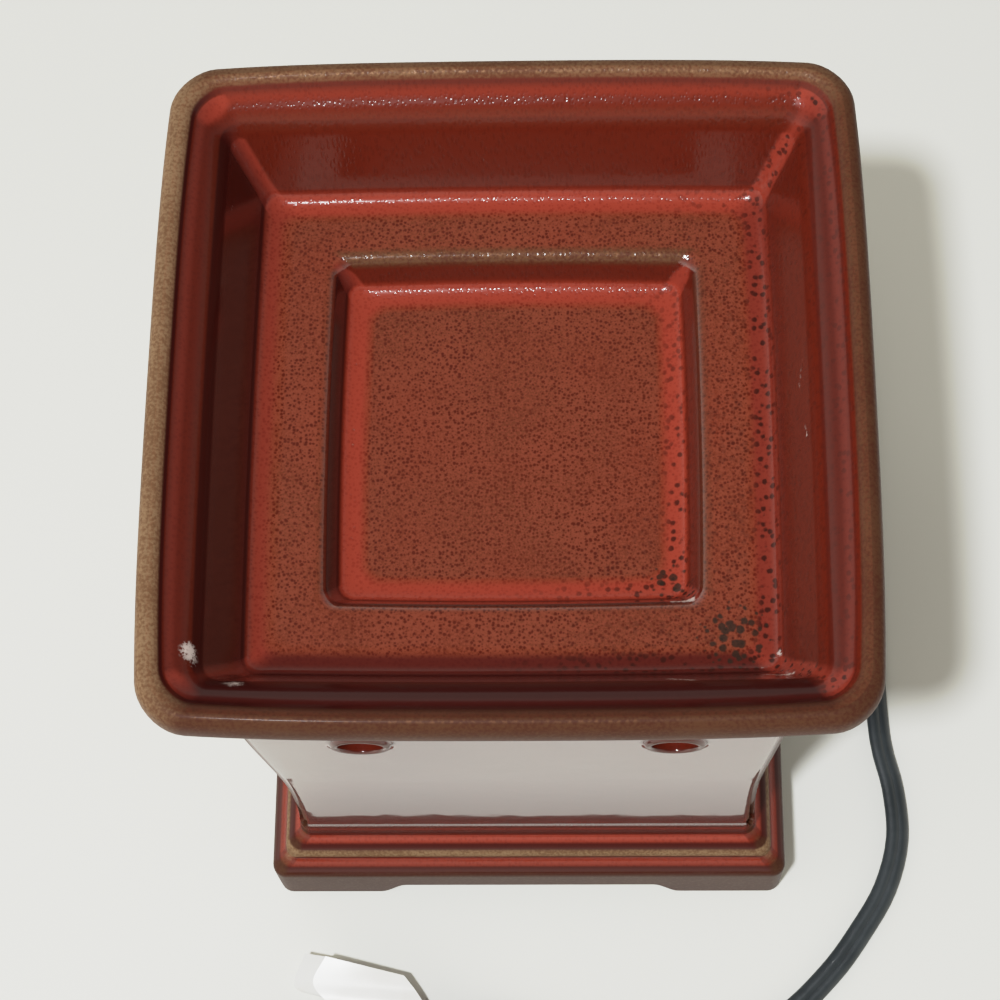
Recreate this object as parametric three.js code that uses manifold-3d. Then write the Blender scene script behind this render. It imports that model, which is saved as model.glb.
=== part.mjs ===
// Square electric wax warmer. A glazed stoneware dish lifts off a glazed column that hides a small lamp,
// and a flat twin lead leaves the back of the plinth, with a hand switch, a coil and a plug on it.
// Millimetres, +Z up, the front faces -Y, and the origin is on the table below the middle of the column.

import * as THREE from 'three';
import { mergeVertices } from 'three/addons/utils/BufferGeometryUtils.js';
import Module from 'manifold-3d';

const wasm = await Module();
wasm.setup();

// Clearances
const SEAT_GAP = 0.3;
const SLIP_GAP = 0.35;
const LOOSE_GAP = 1;
const OVERCUT = 4;

// Feet and plinth
const PAD_RADIUS = 5;
const PAD_THICKNESS = 1.2;
const PLINTH_WIDTH = 116;
const FASCIA_HEIGHT = 18.5;
const FASCIA_WALL = 6;
const FASCIA_ROUND = 2;
const EDGE_ROUND = 0.8;
const STEP_WIDTH = 109;
const STEP_RISE = 5.4;
const STEP_ROUND = 1.4;
const NECK_WIDTH = 100.4;
const NECK_RISE = 4.6;
const COVE_RISE = 7;
const MOULD_SLOPE = 1.2;
const FOOT_WIDTH = 23.5;
const ARCH_RISE = 7.5;
const ARCH_SWEEP = 6;
const FOOT_BLOCK = 14;
const SEAT_BLOCK = 22;

// Column
const COLUMN_FOOT_WIDTH = 96.2;
const COLUMN_TOP_WIDTH = 105.7;
const COLUMN_HEIGHT = 103.6;
const COLUMN_WALL = 5;
const COLUMN_CORNER = 2.5;
const CORNER_GROWTH = 0.2;
const WEB_THICKNESS = 5;
const WEB_SETBACK = 4;
const HOLE_RADIUS = 4.5;
const HOLE_LIP_RADIUS = 8.5;
const HOLE_LIP_DEPTH = 1.8;
const HOLE_OFFSET = 30.2;
const HOLE_HEIGHT = 110.4;

// Dish
const DISH_WIDTH = 130;
const DISH_WALL = 5;
const DISH_RISE = 24.1;
const SIDE_BOW = 0.5;
const RIM_CORNER = 10;
const POOL_CORNER = 4.5;
const BEAD_WIDTH = 4.6;
const BEAD_HEIGHT = 9;
const COVE_DROP = 3.9;
const SHOULDER_WIDTH = 108.4;
const LEDGE_WIDTH = 94.6;
const FILLET = 2.4;
const POOL_WIDTH = 71;
const POOL_DEPTH = 7.1;
const POOL_SLOPE = 3.8;
const RIB_WIDTH = 3;
const RIB_DEPTH = 4;

// Bottom plate
const PLATE_THICKNESS = 1.2;
const SLOT_LENGTH = 22;
const SLOT_WIDTH = 4;
const SLOT_PITCH = 18;
const SLOT_ROW = 26;

// Nipple, nuts and washers
const NIPPLE_RADIUS = 4.8;
const NIPPLE_BORE = 3.2;
const NIPPLE_PROUD = 0.5;
const NUT_FLATS = 14;
const NUT_THICKNESS = 4;
const WASHER_RADIUS = 9;
const WASHER_THICKNESS = 1.2;

// Lamp holder
const HOLDER_RADIUS = 12;
const HOLDER_BASE_HEIGHT = 10;
const HOLDER_ROOF = 2.7;
const SLEEVE_RADIUS = 10.8;
const SLEEVE_HEIGHT = 27;
const SCREW_SHELL_WALL = 0.7;
const SCREW_SHELL_HEIGHT = 25.5;
const SCREW_SHELL_SEAT = 2.4;
const CONTACT_WIDTH = 3.4;
const CONTACT_LENGTH = 6.8;
const CONTACT_STRIP = 0.6;
const CONTACT_RISE = 3.8;
const TERMINAL_HEAD = 2.4;
const TERMINAL_HEAD_DEPTH = 1.6;
const TERMINAL_SHANK = 1.4;
const TERMINAL_LENGTH = 5;
const TERMINAL_ANGLE = 35;

// Lamp
const LAMP_CAP_RADIUS = 5.85;
const LAMP_CAP_WALL = 0.75;
const LAMP_CAP_HEIGHT = 16.2;
const LAMP_CAP_LIP = 1.6;
const LAMP_TIP_RADIUS = 2.4;
const LAMP_TIP_HEIGHT = 1.7;
const LAMP_INSULATOR_HEIGHT = 3.5;
const LAMP_GLASS_RADIUS = 12.5;
const LAMP_GLASS_WALL = 0.8;
const LAMP_NECK_LENGTH = 9.5;
const LAMP_FLARE = 8.5;
const LAMP_LENGTH = 68.5;
const STEM_RADIUS = 2.6;
const STEM_HEIGHT = 22;
const FILAMENT_RADIUS = 0.4;
const FILAMENT_SPREAD = 6;
const FILAMENT_RISE = 16;

// Lead and the pieces on it
const CORD_WIDTH = 5.5;
const CORD_THICKNESS = 2.8;
const CONDUCTOR_RADIUS = 1.1;
const CONDUCTOR_OFFSET = 1.45;
const NOTCH_HEIGHT = 15.7;
const BUSHING_NECK = 3.4;
const BUSHING_FLANGE = 4.8;
const BUSHING_FLANGE_DEPTH = 2.5;
const BUSHING_TAIL = 22;
const BUSHING_TIP = 3.3;
const GROMMET_OFFSET = 20;
const GROMMET_BORE = 3;
const GROMMET_NECK = 4.2;
const GROMMET_FLANGE = 6;
const GROMMET_LIP = 1.4;
const TAG_THICKNESS = 0.6;
const TAG_SLEEVE = 14;
const TAG_ROOT = 20;
const TAG_RIGHT_CORNER = [-24.5, -79.6];
const TAG_LEFT_CORNER = [-46.8, -73];
const SWITCH_X = -66;
const SWITCH_Y = -143;
const SWITCH_LENGTH = 50;
const SWITCH_WIDTH = 24;
const SWITCH_HALF_HEIGHT = 7.5;
const SWITCH_WALL = 2;
const SWITCH_CORNER = 8;
const WHEEL_RADIUS = 7.5;
const WHEEL_WIDTH = 7;
const WHEEL_TEETH = 18;
const WHEEL_TOOTH = 0.7;
const AXLE_RADIUS = 1.5;
const POST_THICKNESS = 3;
const SWITCH_SCREW_OFFSET = 19;
const SWITCH_SCREW_HEAD = 2.5;
const SWITCH_SCREW_HEAD_DEPTH = 1.4;
const SWITCH_SCREW_SHANK = 1.2;
const SWITCH_BOSS = 3.2;
const SWITCH_CONTACT_OFFSET = 10;
const SWITCH_CONTACT_FOOT = 4.5;
const SWITCH_CONTACT_WIDTH = 6;
const SWITCH_CONTACT_RISE = 5.5;
const COIL_X = 8;
const COIL_Y = -164;
const COIL_RADIUS = 34.3;
const COIL_PITCH = 3.4;
const COIL_LAYER = 6.1;
const COIL_START = -90;
const COIL_TURN = 1830;
const COIL_STEPS = 24;
const TIE_ANGLE = 180;
const TIE_WIDTH = 6;
const TIE_THICKNESS = 0.8;
const TIE_ROUND = 2;
const PLUG_X = 55.7;
const PLUG_Y = -162.5;
const PLUG_HEADING = 75;
const PLUG_LENGTH = 30;
const PLUG_WIDTH = 25;
const PLUG_THICKNESS = 15;
const PLUG_NECK = 3.6;
const PLUG_NECK_LENGTH = 7.5;
const PLUG_FLARE = 9;
const PLUG_ROUND = 1.4;
const PLUG_FLAT = 2;
const BLADE_SPACING = 12.7;
const BLADE_LENGTH = 16;
const BLADE_THICKNESS = 1.5;
const LIVE_BLADE_WIDTH = 6.35;
const NEUTRAL_BLADE_WIDTH = 7.9;
const BLADE_EYE = 1.6;
const BLADE_EYE_INSET = 4;

// Facet counts
const CORNER_STEPS = 3;
const SIDE_STEPS = 2;
const ROUND_STEPS = 20;
const SMALL_STEPS = 12;
const HOLE_STEPS = 16;
const WIRE_SIDES = 8;
const WIRE_STEPS = 20;
const FILAMENT_SIDES = 5;
const FILAMENT_STEPS = 26;
const CURVE_STEPS = 3;

// Heights and half widths that follow
const PLINTH_HALF = PLINTH_WIDTH / 2;
const STEP_HALF = STEP_WIDTH / 2;
const NECK_HALF = NECK_WIDTH / 2;
const COLUMN_FOOT_HALF = COLUMN_FOOT_WIDTH / 2;
const COLUMN_TOP_HALF = COLUMN_TOP_WIDTH / 2;
const PLINTH_BOTTOM = PAD_THICKNESS + SEAT_GAP;
const FASCIA_TOP = PLINTH_BOTTOM + FASCIA_HEIGHT;
const STEP_TOP = FASCIA_TOP + STEP_RISE;
const NECK_TOP = STEP_TOP + NECK_RISE;
const COLUMN_FOOT = NECK_TOP + COVE_RISE;
const BODY_TOP = COLUMN_FOOT + COLUMN_HEIGHT;
const WEB_TOP = COLUMN_FOOT - WEB_SETBACK;
const WEB_BOTTOM = WEB_TOP - WEB_THICKNESS;
const RECESS_HALF = PLINTH_HALF - FASCIA_WALL;
const ARCH_TOP = PLINTH_BOTTOM + ARCH_RISE;
const PLATE_BOTTOM = ARCH_TOP + SEAT_GAP;
const PLATE_TOP = PLATE_BOTTOM + PLATE_THICKNESS;
const RIM_HALF = DISH_WIDTH / 2 - SIDE_BOW;
const LEDGE_UNDERSIDE = BODY_TOP + SEAT_GAP;
const LEDGE_TOP = LEDGE_UNDERSIDE + DISH_WALL;
const RIM_TOP = LEDGE_TOP + DISH_RISE;
const POOL_FLOOR = LEDGE_TOP - POOL_DEPTH;
const HOLDER_BOTTOM = WEB_TOP + WASHER_THICKNESS + NUT_THICKNESS + 3 * SEAT_GAP;
const HOLDER_TOP = HOLDER_BOTTOM + HOLDER_BASE_HEIGHT;
const NIPPLE_TOP = HOLDER_TOP - HOLDER_ROOF - SEAT_GAP;
const NUT_BORE = NIPPLE_RADIUS + SEAT_GAP;
const SCREW_SHELL_BORE = LAMP_CAP_RADIUS + SLIP_GAP;
const SCREW_SHELL_RADIUS = SCREW_SHELL_BORE + SCREW_SHELL_WALL;
const CONTACT_TOP = HOLDER_TOP + SEAT_GAP + CONTACT_RISE;
const LAMP_BOTTOM = CONTACT_TOP + SEAT_GAP;
const LAMP_INSULATOR_BOTTOM = LAMP_BOTTOM + LAMP_TIP_HEIGHT + SEAT_GAP;
const LAMP_CAP_BOTTOM = LAMP_INSULATOR_BOTTOM + LAMP_INSULATOR_HEIGHT + SEAT_GAP;
const LAMP_CAP_TOP = LAMP_CAP_BOTTOM + LAMP_CAP_HEIGHT;
const LAMP_NECK_BOTTOM = LAMP_CAP_TOP - LAMP_NECK_LENGTH;
const LAMP_NECK_RADIUS = LAMP_CAP_RADIUS - LAMP_CAP_WALL - SEAT_GAP;
const LAMP_TOP = LAMP_BOTTOM + LAMP_LENGTH;
const STEM_TOP = LAMP_NECK_BOTTOM + STEM_HEIGHT;
const BUSHING_END = PLINTH_HALF + SEAT_GAP + BUSHING_FLANGE_DEPTH + BUSHING_TAIL;
const SWITCH_SPLIT = SWITCH_HALF_HEIGHT + SEAT_GAP;
const SWITCH_TOP = SWITCH_SPLIT + SWITCH_HALF_HEIGHT;
const WHEEL_HEIGHT = SWITCH_WALL + LOOSE_GAP / 2 + WHEEL_RADIUS;
const COIL_BOTTOM = SEAT_GAP + TIE_THICKNESS + SEAT_GAP;

// Materials
const glaze = new THREE.MeshStandardMaterial({ color: 0x5e1a15, roughness: 0.15, metalness: 0 });
const rubber = new THREE.MeshStandardMaterial({ color: 0x1a1b1c, roughness: 0.8, metalness: 0 });
const blackSteel = new THREE.MeshStandardMaterial({ color: 0x232425, roughness: 0.5, metalness: 0.6 });
const zincSteel = new THREE.MeshStandardMaterial({ color: 0xa9acae, roughness: 0.35, metalness: 1 });
const phenolic = new THREE.MeshStandardMaterial({ color: 0x161412, roughness: 0.4, metalness: 0 });
const brass = new THREE.MeshStandardMaterial({ color: 0xb08d45, roughness: 0.3, metalness: 1 });
const solder = new THREE.MeshStandardMaterial({ color: 0x9da0a2, roughness: 0.4, metalness: 1 });
const clearGlass = new THREE.MeshStandardMaterial({ color: 0xe9eef0, roughness: 0.05, metalness: 0 });
const tungsten = new THREE.MeshStandardMaterial({ color: 0x4b4c4e, roughness: 0.4, metalness: 1 });
const wireInsulation = new THREE.MeshStandardMaterial({ color: 0x202428, roughness: 0.6, metalness: 0 });
const leadPlastic = new THREE.MeshStandardMaterial({ color: 0x23282b, roughness: 0.45, metalness: 0 });
const paper = new THREE.MeshStandardMaterial({ color: 0xe8e6e0, roughness: 0.7, metalness: 0 });

// Solids
const WELD = 1e-4;

function solidOf(geometry) {
  const bare = geometry.clone();
  bare.deleteAttribute('normal');
  bare.deleteAttribute('uv');
  const welded = mergeVertices(bare, WELD);
  const index = welded.index.array;
  const kept = [];
  for (let i = 0; i < index.length; i += 3) {
    const [a, b, c] = [index[i], index[i + 1], index[i + 2]];
    if (a !== b && b !== c && c !== a) {
      kept.push(a, b, c);
    }
  }
  return new wasm.Manifold(new wasm.Mesh({
    numProp: 3,
    vertProperties: new Float32Array(welded.attributes.position.array),
    triVerts: new Uint32Array(kept),
  }));
}

function geometryOf(solid) {
  const mesh = solid.getMesh();
  const geometry = new THREE.BufferGeometry();
  geometry.setAttribute('position', new THREE.BufferAttribute(mesh.vertProperties, 3));
  geometry.setIndex(new THREE.BufferAttribute(mesh.triVerts, 1));
  geometry.computeVertexNormals();
  return geometry;
}

function unite(geometries) {
  return geometryOf(geometries.map(solidOf).reduce((sum, next) => sum.add(next)));
}

function cut(geometry, cutters) {
  return geometryOf(cutters.map(solidOf).reduce((rest, cutter) => rest.subtract(cutter), solidOf(geometry)));
}

// A rounded rectangle in a level plane, anticlockwise from above, whose sides may swell outwards by bow
function ring(halfX, halfY, corner, z, bow = 0) {
  const points = [];
  const quarter = Math.PI / 2;
  const place = (x, y, normalX, normalY) => {
    const swellX = normalX * bow * (1 - (y / halfY) ** 2);
    const swellY = normalY * bow * (1 - (x / halfX) ** 2);
    points.push(new THREE.Vector3(x + swellX, y + swellY, z));
  };
  const signs = [[1, 1], [-1, 1], [-1, -1], [1, -1]];
  signs.forEach(([signX, signY], side) => {
    const centreX = signX * (halfX - corner);
    const centreY = signY * (halfY - corner);
    for (let step = 0; step <= CORNER_STEPS; step += 1) {
      const angle = quarter * (side + step / CORNER_STEPS);
      const [normalX, normalY] = [Math.cos(angle), Math.sin(angle)];
      place(centreX + corner * normalX, centreY + corner * normalY, normalX, normalY);
    }
    const [nextX, nextY] = signs[(side + 1) % signs.length];
    const leave = quarter * (side + 1);
    const [normalX, normalY] = [Math.cos(leave), Math.sin(leave)];
    for (let step = 1; step < SIDE_STEPS; step += 1) {
      const share = step / SIDE_STEPS;
      const startX = centreX + corner * normalX;
      const startY = centreY + corner * normalY;
      const endX = nextX * (halfX - corner) + corner * normalX;
      const endY = nextY * (halfY - corner) + corner * normalY;
      place(startX + (endX - startX) * share, startY + (endY - startY) * share, normalX, normalY);
    }
  });
  return points;
}

// A closed skin through rings of equal length, with a flat cap on the first and on the last
function loft(rings) {
  const count = rings[0].length;
  const positions = rings.flat().flatMap((point) => point.toArray());
  const index = [];
  for (let row = 0; row + 1 < rings.length; row += 1) {
    for (let j = 0; j < count; j += 1) {
      const a = row * count + j;
      const b = row * count + (j + 1) % count;
      index.push(a, b, b + count, a, b + count, a + count);
    }
  }
  const cap = (row, outwardLast) => {
    const centre = new THREE.Vector3();
    rings[row].forEach((point) => centre.add(point));
    const hub = positions.length / 3;
    positions.push(...centre.divideScalar(count).toArray());
    for (let j = 0; j < count; j += 1) {
      const a = row * count + j;
      const b = row * count + (j + 1) % count;
      index.push(hub, outwardLast ? a : b, outwardLast ? b : a);
    }
  };
  cap(0, false);
  cap(rings.length - 1, true);
  const geometry = new THREE.BufferGeometry();
  geometry.setAttribute('position', new THREE.Float32BufferAttribute(positions, 3));
  geometry.setIndex(index);
  geometry.computeVertexNormals();
  return geometry;
}

// A square form whose outline gives the half width at each height
function squareLoft(outline, cornerAt, bow = 0) {
  return loft(outline.map(({ x, y }) => ring(x, x, cornerAt(x), y, bow)));
}

function turned(points, steps = ROUND_STEPS) {
  const profile = points.map(([radius, height]) => new THREE.Vector2(radius, height));
  return new THREE.LatheGeometry(profile, steps).rotateX(Math.PI / 2);
}

function tubeRing(inner, outer, bottom, top) {
  return turned([[inner, bottom], [outer, bottom], [outer, top], [inner, top], [inner, bottom]]);
}

function rod(radius, bottom, top, steps = ROUND_STEPS) {
  return turned([[0, bottom], [radius, bottom], [radius, top], [0, top]], steps);
}

function boxBetween(low, high) {
  const size = high.map((value, axis) => value - low[axis]);
  const middle = high.map((value, axis) => (value + low[axis]) / 2);
  return new THREE.BoxGeometry(...size).translate(...middle);
}

function extruded(shape, depth) {
  return new THREE.ExtrudeGeometry(shape, { depth, bevelEnabled: false, curveSegments: CURVE_STEPS });
}

// An outline drawn in X and Z, drawn out along Y and centred on it
function extrudedAlongY(shape, depth) {
  return extruded(shape, depth).rotateX(Math.PI / 2).translate(0, depth / 2, 0);
}

function roundedRectangle(left, low, right, high, corner, PathClass = THREE.Shape) {
  const path = new PathClass();
  path.moveTo(left + corner, low);
  path.lineTo(right - corner, low);
  path.absarc(right - corner, low + corner, corner, -Math.PI / 2, 0, false);
  path.lineTo(right, high - corner);
  path.absarc(right - corner, high - corner, corner, 0, Math.PI / 2, false);
  path.lineTo(left + corner, high);
  path.absarc(left + corner, high - corner, corner, Math.PI / 2, Math.PI, false);
  path.lineTo(left, low + corner);
  path.absarc(left + corner, low + corner, corner, Math.PI, Math.PI * 1.5, false);
  return path;
}

function circlePoints(x, y, radius, sides) {
  const points = [];
  for (let side = 0; side < sides; side += 1) {
    const angle = (2 * Math.PI * side) / sides;
    points.push(new THREE.Vector2(x + radius * Math.cos(angle), y + radius * Math.sin(angle)));
  }
  return points;
}

function roundHole(x, y, radius, sides = ROUND_STEPS) {
  return new THREE.Path(circlePoints(x, y, radius, sides).reverse());
}

function tubeAlong(curve, section, steps) {
  return new THREE.ExtrudeGeometry(section, { steps, extrudePath: curve, bevelEnabled: false });
}

function polygonSection(radius, sides) {
  return new THREE.Shape(circlePoints(0, 0, radius, sides));
}

function smoothCurve(points) {
  const stops = points.map((point) => new THREE.Vector3(...point));
  return new THREE.CatmullRomCurve3(stops, false, 'centripetal');
}

// Ceramic column and plinth
function columnHalfAt(z) {
  const slope = (COLUMN_TOP_HALF - COLUMN_FOOT_HALF) / COLUMN_HEIGHT;
  return COLUMN_FOOT_HALF + slope * (z - COLUMN_FOOT);
}

function bodyCorner(half) {
  return COLUMN_CORNER + CORNER_GROWTH * Math.max(0, half - COLUMN_FOOT_HALF);
}

function bodyOutline() {
  const path = new THREE.Path();
  path.moveTo(PLINTH_HALF - EDGE_ROUND, PLINTH_BOTTOM);
  path.lineTo(PLINTH_HALF, PLINTH_BOTTOM + EDGE_ROUND);
  path.lineTo(PLINTH_HALF, FASCIA_TOP - FASCIA_ROUND);
  path.quadraticCurveTo(PLINTH_HALF, FASCIA_TOP, PLINTH_HALF - FASCIA_ROUND, FASCIA_TOP + MOULD_SLOPE);
  path.quadraticCurveTo(STEP_HALF, FASCIA_TOP + 2 * MOULD_SLOPE, STEP_HALF, STEP_TOP - STEP_ROUND);
  path.quadraticCurveTo(STEP_HALF, STEP_TOP, STEP_HALF - STEP_ROUND, STEP_TOP + MOULD_SLOPE);
  path.quadraticCurveTo(NECK_HALF, STEP_TOP + 2 * MOULD_SLOPE, NECK_HALF, NECK_TOP);
  path.quadraticCurveTo(COLUMN_FOOT_HALF, NECK_TOP + COVE_RISE / 2, COLUMN_FOOT_HALF, COLUMN_FOOT);
  path.lineTo(COLUMN_TOP_HALF, BODY_TOP - EDGE_ROUND);
  path.lineTo(COLUMN_TOP_HALF - EDGE_ROUND, BODY_TOP);
  return path.getPoints(CURVE_STEPS);
}

// The bracket feet are what is left between low arches with swept ends
function archCutter() {
  const footEdge = PLINTH_HALF - FOOT_WIDTH;
  const flatEdge = footEdge - ARCH_SWEEP;
  const middle = footEdge - ARCH_SWEEP / 2;
  const shape = new THREE.Shape();
  shape.moveTo(-footEdge, -OVERCUT);
  shape.lineTo(footEdge, -OVERCUT);
  shape.lineTo(footEdge, PLINTH_BOTTOM);
  shape.bezierCurveTo(middle, PLINTH_BOTTOM, middle, ARCH_TOP, flatEdge, ARCH_TOP);
  shape.lineTo(-flatEdge, ARCH_TOP);
  shape.bezierCurveTo(-middle, ARCH_TOP, -middle, PLINTH_BOTTOM, -footEdge, PLINTH_BOTTOM);
  return extrudedAlongY(shape, PLINTH_WIDTH + 2 * OVERCUT);
}

// A glow hole whose mouth opens like a shallow trumpet, with its axis pointing out of the face
function holeCutter() {
  const mouth = new THREE.Path();
  mouth.moveTo(HOLE_RADIUS, -HOLE_LIP_DEPTH);
  mouth.quadraticCurveTo(HOLE_RADIUS, 0, HOLE_LIP_RADIUS, 0);
  const points = mouth.getPoints(CURVE_STEPS).map((point) => [point.x, point.y]);
  const inside = -COLUMN_WALL - OVERCUT;
  const profile = [[0, inside], [HOLE_RADIUS, inside], ...points, [HOLE_LIP_RADIUS, OVERCUT], [0, OVERCUT]];
  return turned(profile, HOLE_STEPS);
}

function cornerBlocks(size, bottom, top) {
  const blocks = [];
  for (let side = 0; side < 4; side += 1) {
    const inner = PLINTH_HALF - size;
    const block = boxBetween([inner, inner, bottom], [PLINTH_HALF, PLINTH_HALF, top]);
    blocks.push(block.rotateZ((Math.PI / 2) * side));
  }
  return unite(blocks);
}

function bodyShell() {
  const outside = squareLoft(bodyOutline(), bodyCorner);
  const chamberCorner = () => COLUMN_CORNER;
  const chamber = squareLoft([
    new THREE.Vector2(columnHalfAt(WEB_TOP) - COLUMN_WALL, WEB_TOP),
    new THREE.Vector2(columnHalfAt(BODY_TOP + OVERCUT) - COLUMN_WALL, BODY_TOP + OVERCUT),
  ], chamberCorner);
  const recess = squareLoft([
    new THREE.Vector2(RECESS_HALF, -OVERCUT),
    new THREE.Vector2(RECESS_HALF, FASCIA_TOP + MOULD_SLOPE),
    new THREE.Vector2(NECK_HALF - COLUMN_WALL, FASCIA_TOP + MOULD_SLOPE),
    new THREE.Vector2(NECK_HALF - COLUMN_WALL, WEB_BOTTOM),
  ], chamberCorner);
  const cutters = [chamber, recess];
  for (let side = 0; side < 4; side += 1) {
    const turn = (Math.PI / 2) * side;
    cutters.push(archCutter().rotateZ(turn));
    for (const offset of [-HOLE_OFFSET, HOLE_OFFSET]) {
      const hole = holeCutter().rotateX(Math.PI / 2);
      cutters.push(hole.translate(offset, -columnHalfAt(HOLE_HEIGHT), HOLE_HEIGHT).rotateZ(turn));
    }
  }
  const shell = solidOf(cut(outside, cutters));
  const footBlocks = cornerBlocks(FOOT_BLOCK, PLINTH_BOTTOM, WEB_BOTTOM + WEB_THICKNESS / 2);
  const seatBlocks = cornerBlocks(SEAT_BLOCK, PLATE_TOP + SEAT_GAP, WEB_BOTTOM + WEB_THICKNESS / 2);
  const blocks = solidOf(unite([footBlocks, seatBlocks])).intersect(solidOf(outside));
  const solid = shell.add(blocks);
  const nippleHole = rod(NIPPLE_RADIUS + SEAT_GAP, WEB_BOTTOM - OVERCUT, WEB_TOP + OVERCUT);
  const grommetHole = rod(GROMMET_NECK + SEAT_GAP, WEB_BOTTOM - OVERCUT, WEB_TOP + OVERCUT);
  grommetHole.translate(0, GROMMET_OFFSET, 0);
  const notchHalf = BUSHING_NECK + SEAT_GAP;
  const notch = new THREE.Shape();
  notch.moveTo(-notchHalf, 0);
  notch.lineTo(notchHalf, 0);
  notch.lineTo(notchHalf, NOTCH_HEIGHT);
  for (let step = 1; step <= SMALL_STEPS; step += 1) {
    const angle = (Math.PI * step) / SMALL_STEPS;
    notch.lineTo(notchHalf * Math.cos(angle), NOTCH_HEIGHT + notchHalf * Math.sin(angle));
  }
  const notchCutter = extruded(notch, FASCIA_WALL + 2 * OVERCUT).rotateX(Math.PI / 2);
  notchCutter.translate(0, PLINTH_HALF + OVERCUT, 0);
  return cut(geometryOf(solid), [nippleHole, grommetHole, notchCutter]);
}

// Dish: underside from the middle out, then over the rim and down to the pool floor
function dishCorner(half) {
  const poolHalf = POOL_WIDTH / 2 - POOL_SLOPE;
  return POOL_CORNER + ((RIM_CORNER - POOL_CORNER) * (half - poolHalf)) / (RIM_HALF - poolHalf);
}

function dishOutline() {
  const poolHalf = POOL_WIDTH / 2;
  const poolFoot = poolHalf - POOL_SLOPE;
  const poolOut = poolHalf + DISH_WALL;
  const ribOut = columnHalfAt(BODY_TOP) - COLUMN_WALL - LOOSE_GAP;
  const ledgeHalf = LEDGE_WIDTH / 2;
  const shoulder = SHOULDER_WIDTH / 2;
  const cove = RIM_TOP - COVE_DROP;
  const beadInner = RIM_HALF - BEAD_WIDTH;
  const beadBottom = RIM_TOP - BEAD_HEIGHT;
  const path = new THREE.Path();
  path.moveTo(poolFoot, POOL_FLOOR - DISH_WALL);
  path.quadraticCurveTo(poolHalf, POOL_FLOOR - DISH_WALL, poolHalf + FILLET / 2, POOL_FLOOR);
  path.lineTo(poolOut, LEDGE_UNDERSIDE);
  path.lineTo(ribOut - RIB_WIDTH, LEDGE_UNDERSIDE);
  path.lineTo(ribOut - RIB_WIDTH, LEDGE_UNDERSIDE - RIB_DEPTH);
  path.lineTo(ribOut, LEDGE_UNDERSIDE - RIB_DEPTH);
  path.lineTo(ribOut, LEDGE_UNDERSIDE);
  path.lineTo(ledgeHalf + DISH_WALL - FILLET / 2, LEDGE_UNDERSIDE);
  path.quadraticCurveTo(ledgeHalf + DISH_WALL, LEDGE_UNDERSIDE, ledgeHalf + DISH_WALL + FILLET / 2,
    LEDGE_UNDERSIDE + FILLET);
  path.lineTo(shoulder + DISH_WALL - FILLET / 2, beadBottom - FILLET);
  path.quadraticCurveTo(shoulder + DISH_WALL, beadBottom, RIM_HALF - BEAD_WIDTH / 2, beadBottom);
  path.quadraticCurveTo(RIM_HALF, beadBottom, RIM_HALF, RIM_TOP - BEAD_WIDTH);
  path.quadraticCurveTo(RIM_HALF, RIM_TOP, RIM_HALF - BEAD_WIDTH / 2, RIM_TOP);
  path.quadraticCurveTo(beadInner + BEAD_WIDTH / 4, RIM_TOP, beadInner, RIM_TOP - COVE_DROP / 2);
  path.quadraticCurveTo(beadInner - FILLET / 3, cove, beadInner - FILLET, cove);
  path.lineTo(shoulder + FILLET / 2, cove - FILLET / 4);
  path.quadraticCurveTo(shoulder, cove - FILLET / 4, shoulder - FILLET / 4, cove - FILLET);
  path.lineTo(ledgeHalf + FILLET / 2, LEDGE_TOP + FILLET);
  path.quadraticCurveTo(ledgeHalf, LEDGE_TOP, ledgeHalf - FILLET / 2, LEDGE_TOP);
  path.lineTo(poolHalf, LEDGE_TOP);
  path.quadraticCurveTo(poolHalf - FILLET / 2, LEDGE_TOP, poolHalf - FILLET, LEDGE_TOP - FILLET);
  path.lineTo(poolFoot + FILLET / 3, POOL_FLOOR + FILLET);
  path.quadraticCurveTo(poolFoot, POOL_FLOOR, poolFoot - FILLET, POOL_FLOOR);
  return path.getPoints(CURVE_STEPS);
}

// Bottom plate with its corners cut away round the feet
function bottomPlate() {
  const reach = RECESS_HALF - SLIP_GAP;
  const notch = PLINTH_HALF - FOOT_BLOCK - SLIP_GAP;
  const outline = new THREE.Shape([
    [notch, -reach], [notch, -notch], [reach, -notch], [reach, notch], [notch, notch], [notch, reach],
    [-notch, reach], [-notch, notch], [-reach, notch], [-reach, -notch], [-notch, -notch], [-notch, -reach],
  ].map(([x, y]) => new THREE.Vector2(x, y)));
  outline.holes.push(roundHole(0, 0, NUT_BORE));
  for (const row of [-SLOT_ROW, SLOT_ROW]) {
    for (const place of [-1.5, -0.5, 0.5, 1.5]) {
      const middle = place * SLOT_PITCH;
      const [left, right] = [middle - SLOT_WIDTH / 2, middle + SLOT_WIDTH / 2];
      const [low, high] = [row - SLOT_LENGTH / 2, row + SLOT_LENGTH / 2];
      outline.holes.push(roundedRectangle(left, low, right, high, SLOT_WIDTH / 2, THREE.Path));
    }
  }
  return extruded(outline, PLATE_THICKNESS).translate(0, 0, PLATE_BOTTOM);
}

function hexNut(bottom) {
  const outline = polygonSection(NUT_FLATS / Math.sqrt(3), 6);
  outline.holes.push(roundHole(0, 0, NUT_BORE));
  return extruded(outline, NUT_THICKNESS).translate(0, 0, bottom);
}

// Lamp holder
function holderBase() {
  const boreTop = NIPPLE_TOP + SEAT_GAP;
  const body = turned([[0, boreTop], [NUT_BORE, boreTop], [NUT_BORE, HOLDER_BOTTOM],
    [HOLDER_RADIUS, HOLDER_BOTTOM], [HOLDER_RADIUS, HOLDER_TOP], [0, HOLDER_TOP]]);
  return cut(body, [-1, 1].map((side) => terminalPlaced(terminalBore(), side)));
}

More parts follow.
